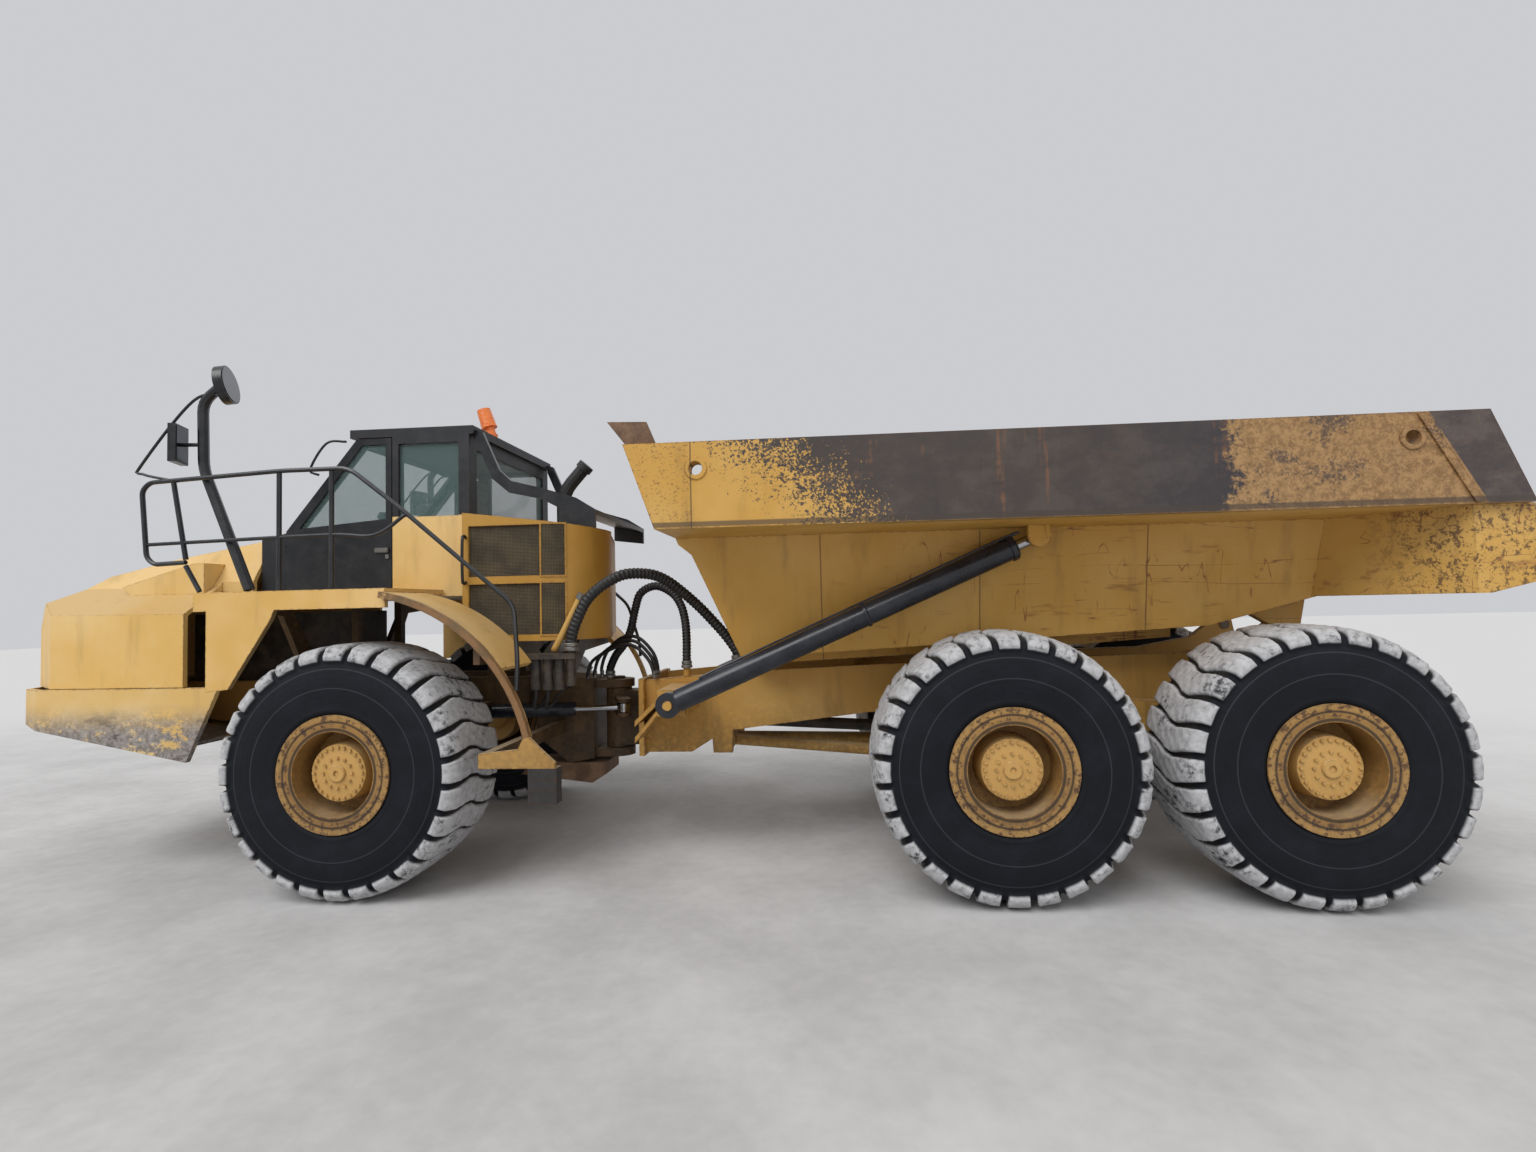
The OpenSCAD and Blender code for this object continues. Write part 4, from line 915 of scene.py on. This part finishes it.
# %% Tyre rubber
def tyre_rubber(name, axle):
    """Dark sidewall, pale scuffed lugs, and dust in the grooves."""
    f = Finish(name, Specular_IOR_Level=0.25)
    lug = f.node("ShaderNodeAttribute", {"attribute_name": "lug"}, None, "Fac")
    out = ((f.x - axle) ** 2 + (f.z - HUB_Z) ** 2) ** 0.5
    grit = f.noise(24, 5, 0.7)
    patch = f.noise(5, 4, 0.6)
    wall = f.mix(patch.rise(0.4, 0.75) * 0.35 + grit * 0.08, srgb(11, 14, 21), srgb(30, 33, 42))
    rings = (out * 150).sine()
    # Two moulded circles on the sidewall
    circles = (out - 0.60).absolute().smaller((out - 0.735).absolute()).rise(0.006, 0.001)
    tread = out.rise(0.83, 0.865) * (1 - lug.rise(0.4, 0.9))
    pale = f.mix(grit.rise(0.35, 0.65) * 0.5 + patch * 0.3, srgb(200, 201, 204), srgb(148, 147, 148))
    worn = lug.rise(0.35, 0.85) * (patch * 0.5 + grit * 0.5).rise(0.68, 0.52)
    wall = f.mix(circles * 0.4, wall, srgb(74, 76, 82))
    colour = f.mix(tread * 0.6, wall, srgb(70, 66, 62))
    colour = f.mix(worn * 0.93, colour, pale)
    f.feed(Base_Color=colour, Roughness=0.62 + grit * 0.25)
    f.feed(Normal=f.bump(grit * 0.5 + rings * 0.15 * out.rise(0.8, 0.78), 0.002))
    return f.material


# %% A tyre for each wheel
for number, (axle, x) in enumerate(WHEELS.items()):
    finish = tyre_rubber(f"tyre rubber {axle}", x)
    for side in SIDES:
        name = f"tread_{axle}_{side}"
        low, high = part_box(f"tyre_{axle}_{side}")
        shape = tyre_mesh(name, (low + high) / 2, number + (side == "right") * 0.4)
        tyre = add(name, shape, f"wheel_{axle}_{side}", finish)
        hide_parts(f"tyre_{axle}_{side}")
print("tyre faces:", len(shape.polygons))

# %% [markdown]
# ## Bolts
# The hub cap is held by a ring of bolts, and the rim's lock ring has its own. The round flange on
# which the hitch rolls is bolted too, under the cap of the pin that it steers on. All rings grow
# from the bolt ring's tree, because they differ only in count and size.

# %% Bolts and rings on the hubs
HUB_RINGS = ((12, 0.105, 0.002), (24, 0.178, 0.008))  # count, radius, and how far the bolts are sunk
for axle in WHEELS:
    for side, out in SIDES.items():
        low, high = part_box(f"rim_{axle}_{side}")
        centre = (low + high) / 2
        face = (low.y if out < 0 else high.y) - out * 0.060
        rings = [
            grow(
                bolt_ring, Count=count, Ring_radius=radius, Bolt_radius=0.012, Height=0.022,
                Turn=(math.pi / 2, 0, 0), Place=(centre.x, face - out * sunk, centre.z), Finish=primer,
            )
            for count, radius, sunk in HUB_RINGS
        ]
        cap = ring((centre.x, face - out * 0.004, centre.z), (0, out, 0), 0.02, 0.062, 0.02, 24)
        name = f"hub_bolts_{axle}_{side}"
        shape = joined(name, [*rings, cap])
        add(name, shape, f"wheel_{axle}_{side}", wheel_yellow, False)
print("wheels with bolts:", len(WHEELS) * len(SIDES))

# %% Bolts and a cap on the hitch
ROLL_FLANGE = (1772, 0, 1040)
PIN_TOP = (1550, 0, 1388)
flange = grow(
    bolt_ring, Count=16, Ring_radius=0.198, Bolt_radius=0.017, Height=0.03, Turn=(0, math.pi / 2, 0),
    Place=tuple(spot(*ROLL_FLANGE)), Finish=primer,
)
pin_cap = ring(spot(*PIN_TOP), (0, 0, 1), 0.012, 0.057, 0.014, 24)
hitch_bolts = joined("hitch_bolts", [flange, pin_cap])
add("hitch_bolts", hitch_bolts, "hitch", primer, False)
print("faces on the hitch's bolts:", len(hitch_bolts.polygons))

# %% [markdown]
# ## Corrugated hoses
# Oil crosses the hitch in thick hoses inside corrugated guards. A bump map wouldn't show the guard's
# ribs in outline, so the radius of a swept tube swells at even steps. Each guarded hose replaces its
# plain CAD tube. Plain thin hoses run beside them, and two more hang down from the valve group. The
# hoses over the hitch end in steel sleeves, which are rings of two sizes.

# %% The routes over the hitch, in millimetres
LARGE = [
    (1480, -1050, 1700), (1480, -1050, 1770), (1500, -1062, 1850), (1533, -1070, 1928),
    (1602, -1070, 2065), (1683, -1050, 2160), (1788, -1000, 2240), (1896, -930, 2287),
    (2040, -800, 2288), (2139, -700, 2249), (2233, -620, 2175), (2372, -500, 2035),
    (2502, -430, 1884), (2615, -405, 1745), (2695, -415, 1620), (2695, -415, 1540),
]
SMALL = [
    (1500, -100, 1400), (1500, -100, 1480), (1570, -160, 1600), (1660, -205, 1700),
    (1725, -215, 1830), (1770, -225, 2010), (1829, -244, 2150), (1967, -256, 2207),
    (2111, -267, 2142), (2191, -285, 2035), (2235, -330, 1900), (2255, -380, 1750),
    (2260, -415, 1600), (2260, -415, 1500),
]
THIN = [
    (1440, -150, 1408), (1440, -160, 1500), (1510, -210, 1640), (1660, -280, 1760),
    (1820, -330, 1760), (1950, -360, 1640), (1996, -370, 1520), (1997, -370, 1424),
]
# Each of three thin hoses starts further forward, lies further out and loops lower than the last
thin_routes = [
    [(x - 45 * number * (x < 1600), y - 62 * number, z - 34 * number * (1450 < z)) for x, y, z in THIN]
    for number in range(3)
]
LARGE_RADIUS, SMALL_RADIUS, THIN_RADIUS, LOW_RADIUS = 0.045, 0.038, 0.015, 0.013


# %% The hoses that cross the hitch
def hose(name, route, radius, pitch, node=None, crosses=True):
    """A hose along a route, ribbed where it has a pitch, over the hitch or on the front body."""
    path, far = smooth_route([spot(*p) for p in route], pitch / 6 if pitch else 0.02)
    # A guard's radius swings by 7% about 93% of its ribs' radius
    swell = radius * (0.93 + 0.07 * np.sin(far * 2 * math.pi / pitch)) if pitch else radius
    points, faces = tube(path, swell, 14 if pitch else 10)
    made = add(name, mesh_of(name, points, faces), None if crosses else "front_body", hose_rubber)
    if crosses:
        tuple(spot(1520, 0, 1400))
        tuple(spot(2230, 0, 1400))
        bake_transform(made)
    if node:
        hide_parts(node)
    print(name, round(float(far[-1]), 3), "m")


hose("guarded_hose_large", LARGE, LARGE_RADIUS, pitch=0.034, node="hose_large")
hose("guarded_hose_small", SMALL, SMALL_RADIUS, pitch=0.028, node="hose_small")
for number, route in enumerate(thin_routes, 1):
    hose(f"thin_hose_{number}", route, THIN_RADIUS, pitch=None)

# %% Two hoses that loop from the valve group down to the front frame
LOW = [
    (0, -1030, 1404), (0, -1030, 1350), (-25, -1000, 1290), (-60, -900, 1240), (-80, -760, 1245),
    (-85, -600, 1300), (-90, -430, 1338), (-100, -300, 1342), (-110, -196, 1342),
]
for number, valve_x in enumerate((1190, 1285), 1):
    route = [(valve_x + x, y, z) for x, y, z in LOW]
    hose(f"low_hose_{number}", route, LOW_RADIUS, pitch=None, crosses=False)

# %% A crimped steel sleeve on both ends of each hose over the hitch
ENDS = [(LARGE, LARGE_RADIUS), (SMALL, SMALL_RADIUS)] + [(route, THIN_RADIUS) for route in thin_routes]
STEPPED = ((0.002, 1.24), (0.034, 1.16))  # each sleeve's two rings: height, and radius over the hose's
for place, body in ((0, "front_body"), (-1, "hitch")):
    sleeves = []
    for route, radius in ENDS:
        for lift, wide in STEPPED:
            low_end = spot(*route[place]) + Vector((0, 0, lift))
            sleeves.append(ring(low_end, (0, 0, 1), radius * 1.01, radius * wide, 0.028, 24))
    add(f"hose_sleeves_{body}", joined("sleeves", sleeves), body, steel, False)
print("sleeved ends:", 2 * len(ENDS))

# %% [markdown]
# ## Rails, handles and mirrors
# Thin bars could be curves with a bevel. They are swept like the hoses, along short lists of points
# and once for each side, because that gives a plain mesh at once. The mirrors' glasses are thin
# plates that lie on the back of the CAD housings.

# %% Bars, as a radius and a route on the right side, in millimetres
BARS = {
    "mid_rail": (
        14,
        [
            (-1500, 1615, 2562), (-943, 1615, 2575), (-93, 1615, 2593), (255, 1615, 2582),
            (470, 1584, 2728),
        ],
    ),
    "mirror_loop": (
        10,
        [
            (-1300, 1575, 3029), (-1560, 1590, 3090), (-1580, 1590, 3150), (-1173, 1575, 3630),
            (-905, 1560, 3650),
        ],
    ),
    "pillar_handle": (10, [(-745, 822, 3190), (-790, 870, 3230), (-640, 880, 3440), (-505, 822, 3462)]),
    "deck_handle": (12, [(640, 1052, 2600), (640, 1105, 2590), (640, 1105, 2260), (640, 1052, 2250)]),
}
for side, sign in SIDES.items():
    for name, (radius, route) in BARS.items():
        path, _ = smooth_route([spot(x, sign * y, z) for x, y, z in route], 0.03)
        bar = mesh_of(f"{name}_{side}", *tube(path, radius / 1000, 8))
        add(f"{name}_{side}", bar, "front_body", black_paint)
print("bars:", len(SIDES) * len(BARS))


# %% Mirror glasses
def mirror_glass():
    """A silvered glass that shows the pale room darkly, through a film of dust."""
    f = Finish("mirror glass", Metallic=1.0)
    film = f.noise(6, 4, 0.6)
    f.feed(Base_Color=f.mix(film, srgb(84, 88, 94), srgb(60, 62, 66)))
    f.feed(Roughness=0.06 + film.rise(0.5, 0.8) * 0.2)
    return f.material


silvered = mirror_glass()
ROUND_MIRROR, FLAT_MIRROR = (-975, 1555, 3735), (-1290, 1575, 3160)
for side, sign in SIDES.items():
    axis = Vector((0.937, -sign * 0.304, 0.174))
    x, y, z = ROUND_MIRROR
    round_glass = ring(spot(x, sign * y, z) + axis * 0.060, axis, 0.001, 0.128, 0.004, 40)
    x, y, z = FLAT_MIRROR
    turn = Matrix.Rotation(-sign * math.radians(20), 4, "Z")
    points, faces = block((0.0255, -0.070, 0.012), (0.0295, 0.100, 0.268), 0.001)
    panel = [spot(x, sign * y, z) + turn @ Vector((p.x, sign * p.y, p.z)) for p in points]
    if sign < 0:
        faces = [face[::-1] for face in faces]
    shape = joined(f"mirror_glass_{side}", [round_glass, (panel, faces)])
    add(f"mirror_glass_{side}", shape, "front_body", silvered, False)
print("mirror glasses:", 2 * len(SIDES))

# %% [markdown]
# ## Small fittings
# The door has a handle, the lifting eyes of the bed have welded collars, the valve group has a
# filler tube, and a pipe feeds each hoist cylinder. They are few and differ, so each is a block, a
# ring or a swept tube by itself, set on the face that carries it.

# %% Door handle and collars
grip = block(spot(-235, -872, 2520), spot(-120, -846, 2560), 0.006)
lock = block(spot(-150, -856, 2470), spot(-118, -845, 2505), 0.003)
add("door_handle", joined("door_handle", [grip, lock]), "cab_door", steel, False)
BED_FACE = 1699  # the bed's side, on which the collars lie
LIFTING_EYES = ((2595, 2956), (7160, 2977))
for side, sign in SIDES.items():
    collars = [
        ring(spot(x, sign * BED_FACE, z), (0, sign, 0), 0.047, 0.078, 0.011, 40) for x, z in LIFTING_EYES
    ]
    name = f"eye_collars_{side}"
    add(name, joined(name, collars), "bed", bed_paint, False)
print("collars:", 2 * len(LIFTING_EYES))

# %% Filler tube and its cap
FILLER = [(1335, -1030, 1700), (1400, -1034, 1815), (1556, -1040, 2110)]
FILLER_CAP = [(1548, -1040, 2095), (1570, -1041, 2136)]
filler_path, _ = smooth_route([spot(*p) for p in FILLER], 0.03)
filler = mesh_of("filler_tube", *tube(filler_path, 0.026, 14))
add("filler_tube", filler, "front_body", frame_yellow)
cap_path, _ = smooth_route([spot(*p) for p in FILLER_CAP], 0.012)
cap = mesh_of("filler_cap", *tube(cap_path, 0.034, 18))
add("filler_cap", cap, "front_body", steel, False)
print("filler tube:", len(filler_path), "points")

# %% Clamp and pipe of the hoist cylinders
HOIST_FOOT, HOIST_EYE = spot(2250, 0, 1280), spot(5000, 0, 2470)
HOIST_Y = 1.1  # metres from the truck's middle to each cylinder
PIPE_RUN = ((0.35, 0.075), (0.5, 0.094), (2.7, 0.094), (2.82, 0.080))  # along and above the barrel
along = (HOIST_EYE - HOIST_FOOT).normalized()
above = Vector((0, 1, 0)).cross(along) * -1
for side, sign in SIDES.items():
    middle = HOIST_FOOT + Vector((0, sign * HOIST_Y, 0))
    clamp = ring(middle + along * 1.62, along, 0.0845, 0.094, 0.030)
    collar = ring(middle + along * 2.78, along, 0.0845, 0.097, 0.050)
    beside = Vector((0, sign * 0.03, 0))
    pipe_path, _ = smooth_route([middle + along * d + above * h + beside for d, h in PIPE_RUN], 0.04)
    shape = joined(f"hoist_pipe_{side}", [clamp, collar, tube(pipe_path, 0.009, 8)])
    add(f"hoist_pipe_{side}", shape, f"hoist_barrel_{side}", barrel_paint, False)
print("pipe of each hoist cylinder:", len(pipe_path), "points")

# %% [markdown]
# ## Screens round the corner
# Each wire screen of the cooling enclosure runs on round its corner. A flat panel would cut through
# the corner, so a strip is bent about the corner's axis, just outside the solid, with a folded frame
# along its edges.

# %% A strip bent about the corner
CORNER_X, CORNER_Y, CORNER_RADIUS = 1220, -610, 440


def bent(inner, outer, z0, z1, turns):
    """Points and faces of a strip between two radii and two heights, through these angles."""
    points, faces = [], []
    for a in turns:
        for r, z in ((inner, z0), (outer, z0), (outer, z1), (inner, z1)):
            points.append(spot(CORNER_X + r * math.sin(a), CORNER_Y - r * math.cos(a), z))
    last = 4 * (len(turns) - 1)
    for i in range(0, last, 4):
        faces += [(i + k, i + 4 + k, i + 4 + (k + 1) % 4, i + (k + 1) % 4) for k in range(4)]
    return points, [*faces, (0, 1, 2, 3), (last + 3, last + 2, last + 1, last)]


# %% Bent screens and frames
SCREENS = ((1830, 2230), (2290, 2690))  # the lower and upper edge of each
FOLD = 14  # the frame's width on the face, in millimetres
SIDE_FOLD = 0.03  # and as an angle round the corner
angles = np.linspace(math.radians(4), math.radians(27), 12)
inner, outer = CORNER_RADIUS - 4, CORNER_RADIUS + 6
for number, (low, high) in enumerate(SCREENS, 1):
    screen = mesh_of("screen", *bent(inner, CORNER_RADIUS + 2, low, high, angles))
    add(f"bent_screen_{number}", screen, "front_body", mesh_screen, False)
    edge = [bent(inner, outer, z, z + FOLD, angles) for z in (low - FOLD, high)]
    for a in (angles[0] - SIDE_FOLD, angles[-1]):
        edge.append(bent(inner, outer, low - FOLD, high + FOLD, (a, a + SIDE_FOLD)))
    made = joined("screen_frame", edge)
    add(f"screen_frame_{number}", made, "front_body", enclosure_shaded_yellow, False)
print("screens bent round the corner:", len(SCREENS))

# %% [markdown]
# ## Driver's seat
# The seat is foam under cloth. A rounded box is crowned in its middle and drawn in along two sewn
# channels, which a simulation would only soften behind tinted glass.


# %% Seat cloth
def seat_cloth():
    """Dark cloth with a fine weave and a little sheen."""
    f = Finish("seat cloth", Sheen_Weight=0.3)
    weave = (f.x * 900).sine() * (f.y * 900).sine()
    faded = f.mix(f.noise(9, 4).rise(0.35, 0.7), srgb(40, 41, 45), srgb(66, 66, 70))
    f.feed(Base_Color=faded, Roughness=0.9, Normal=f.bump(weave, 0.0006))
    return f.material


cloth = seat_cloth()

# %% Cushions
SEWN_AT = (-0.4, 0.4)  # where the two channels run, from -1 to 1 across the pad


def cushion(name, low, high, thin):
    """A crowned pad in a box; thin is the axis, 0 to 2, that it is padded along."""
    made = bmesh.new()
    bmesh.ops.create_cube(made, size=2)
    bmesh.ops.subdivide_edges(made, edges=made.edges[:], cuts=15, use_grid_fill=True)
    low, high = Vector(low), Vector(high)
    centre, half = (low + high) / 2, (high - low) / 2
    wide = [i for i in range(3) if i != thin]
    for vert in made.verts:
        unit = vert.co.copy()
        flat = max(abs(unit[wide[0]]), abs(unit[wide[1]]))
        corner = abs(unit[wide[0]]) ** 6 * abs(unit[wide[1]]) ** 6
        swell = 1 - 0.5 * flat**6
        seam = max(math.exp(-(((unit[wide[1]] - at) / 0.05) ** 2)) for at in SEWN_AT)
        unit[thin] *= swell - 0.1 * seam * (flat < 0.95)
        for axis in wide:
            unit[axis] *= 1 - 0.05 * corner - 0.03 * abs(vert.co[thin]) ** 4
        vert.co = centre + Vector(u * h for u, h in zip(unit, half))
    mesh = bpy.data.meshes.new(name)
    made.to_mesh(mesh)
    made.free()
    piece = add(name, mesh, "front_body", cloth)


cushion("seat_cushion", spot(-306, -256, 2496), spot(206, 256, 2634), 2)
cushion("seat_back", spot(104, -246, 2622), spot(236, 246, 3246), 0)
print("seat pads made")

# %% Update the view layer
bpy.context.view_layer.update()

# %% [markdown]
# ## Floor and light
# A plain pale floor runs into a pale surround. Lights are large and soft, and strong enough that a
# colour renders about as it is written.


# %% Floor
def concrete():
    """Clouded pale concrete, which fades into the surround's grey far away."""
    f = Finish("concrete floor", Specular_IOR_Level=0.0)
    cloud = f.noise(0.7, 6, 0.62)
    fine = f.noise(9, 4, 0.6)
    away = (f.x * f.x + f.y * f.y) ** 0.5
    near = f.mix((cloud * 0.75 + fine * 0.25).rise(0.3, 0.7), srgb(176, 175, 175), srgb(200, 199, 199))
    f.feed(Base_Color=f.mix(away.rise(5, 18), near, srgb(206, 206, 206)))
    f.feed(Roughness=0.8 + fine * 0.15)
    return f.material


FAR = 60  # metres to the floor's edge on every side
corners = [(-FAR, -FAR, 0), (FAR, -FAR, 0), (FAR, FAR, 0), (-FAR, FAR, 0)]
floor = bpy.data.objects.new("floor", mesh_of("floor", corners, [(0, 1, 2, 3)]))
floor.location.z = -0.001
floor.data.materials.append(concrete())
scene.collection.objects.link(floor)
print("floor:", 2 * FAR, "m wide")

# %% Surround and lamps
world = bpy.data.worlds.new("surround")
scene.world = world
world.use_nodes = True
sky = Graph(world.node_tree)
for node in list(world.node_tree.nodes):
    world.node_tree.nodes.remove(node)
rays = sky.node("ShaderNodeLightPath", None, None, "Is Camera Ray")
shown = rays.larger(rays.also("Is Glossy Ray")).larger(rays.also("Is Transmission Ray"))
seen = sky.node("ShaderNodeBackground", None, {"Color": srgb(203, 204, 208), "Strength": 1.0})
lit = sky.node("ShaderNodeBackground", None, {"Color": (1, 1, 1, 1), "Strength": 0.46})
both = sky.node("ShaderNodeMixShader", None, {0: shown, 1: lit, 2: seen})
end = world.node_tree.nodes.new("ShaderNodeOutputWorld")
world.node_tree.links.new(both.socket, end.inputs["Surface"])


def lamp(name, toward, strength, angle):
    """A sun that shines toward a direction; the angle in degrees softens its shadow."""
    data = bpy.data.lights.new(name, "SUN")
    data.energy, data.angle = strength, math.radians(angle)
    made = bpy.data.objects.new(name, data)
    made.rotation_euler = Vector(toward).to_track_quat("-Z", "Y").to_euler()
    scene.collection.objects.link(made)


lamp("key", (0.45, 0.75, -1.0), 2.0, 40)
lamp("fill", (-0.5, 0.6, -0.55), 0.5, 70)
lamp("back", (0.1, -0.8, -1.0), 0.4, 70)
print("lamps:", len(bpy.data.lights))
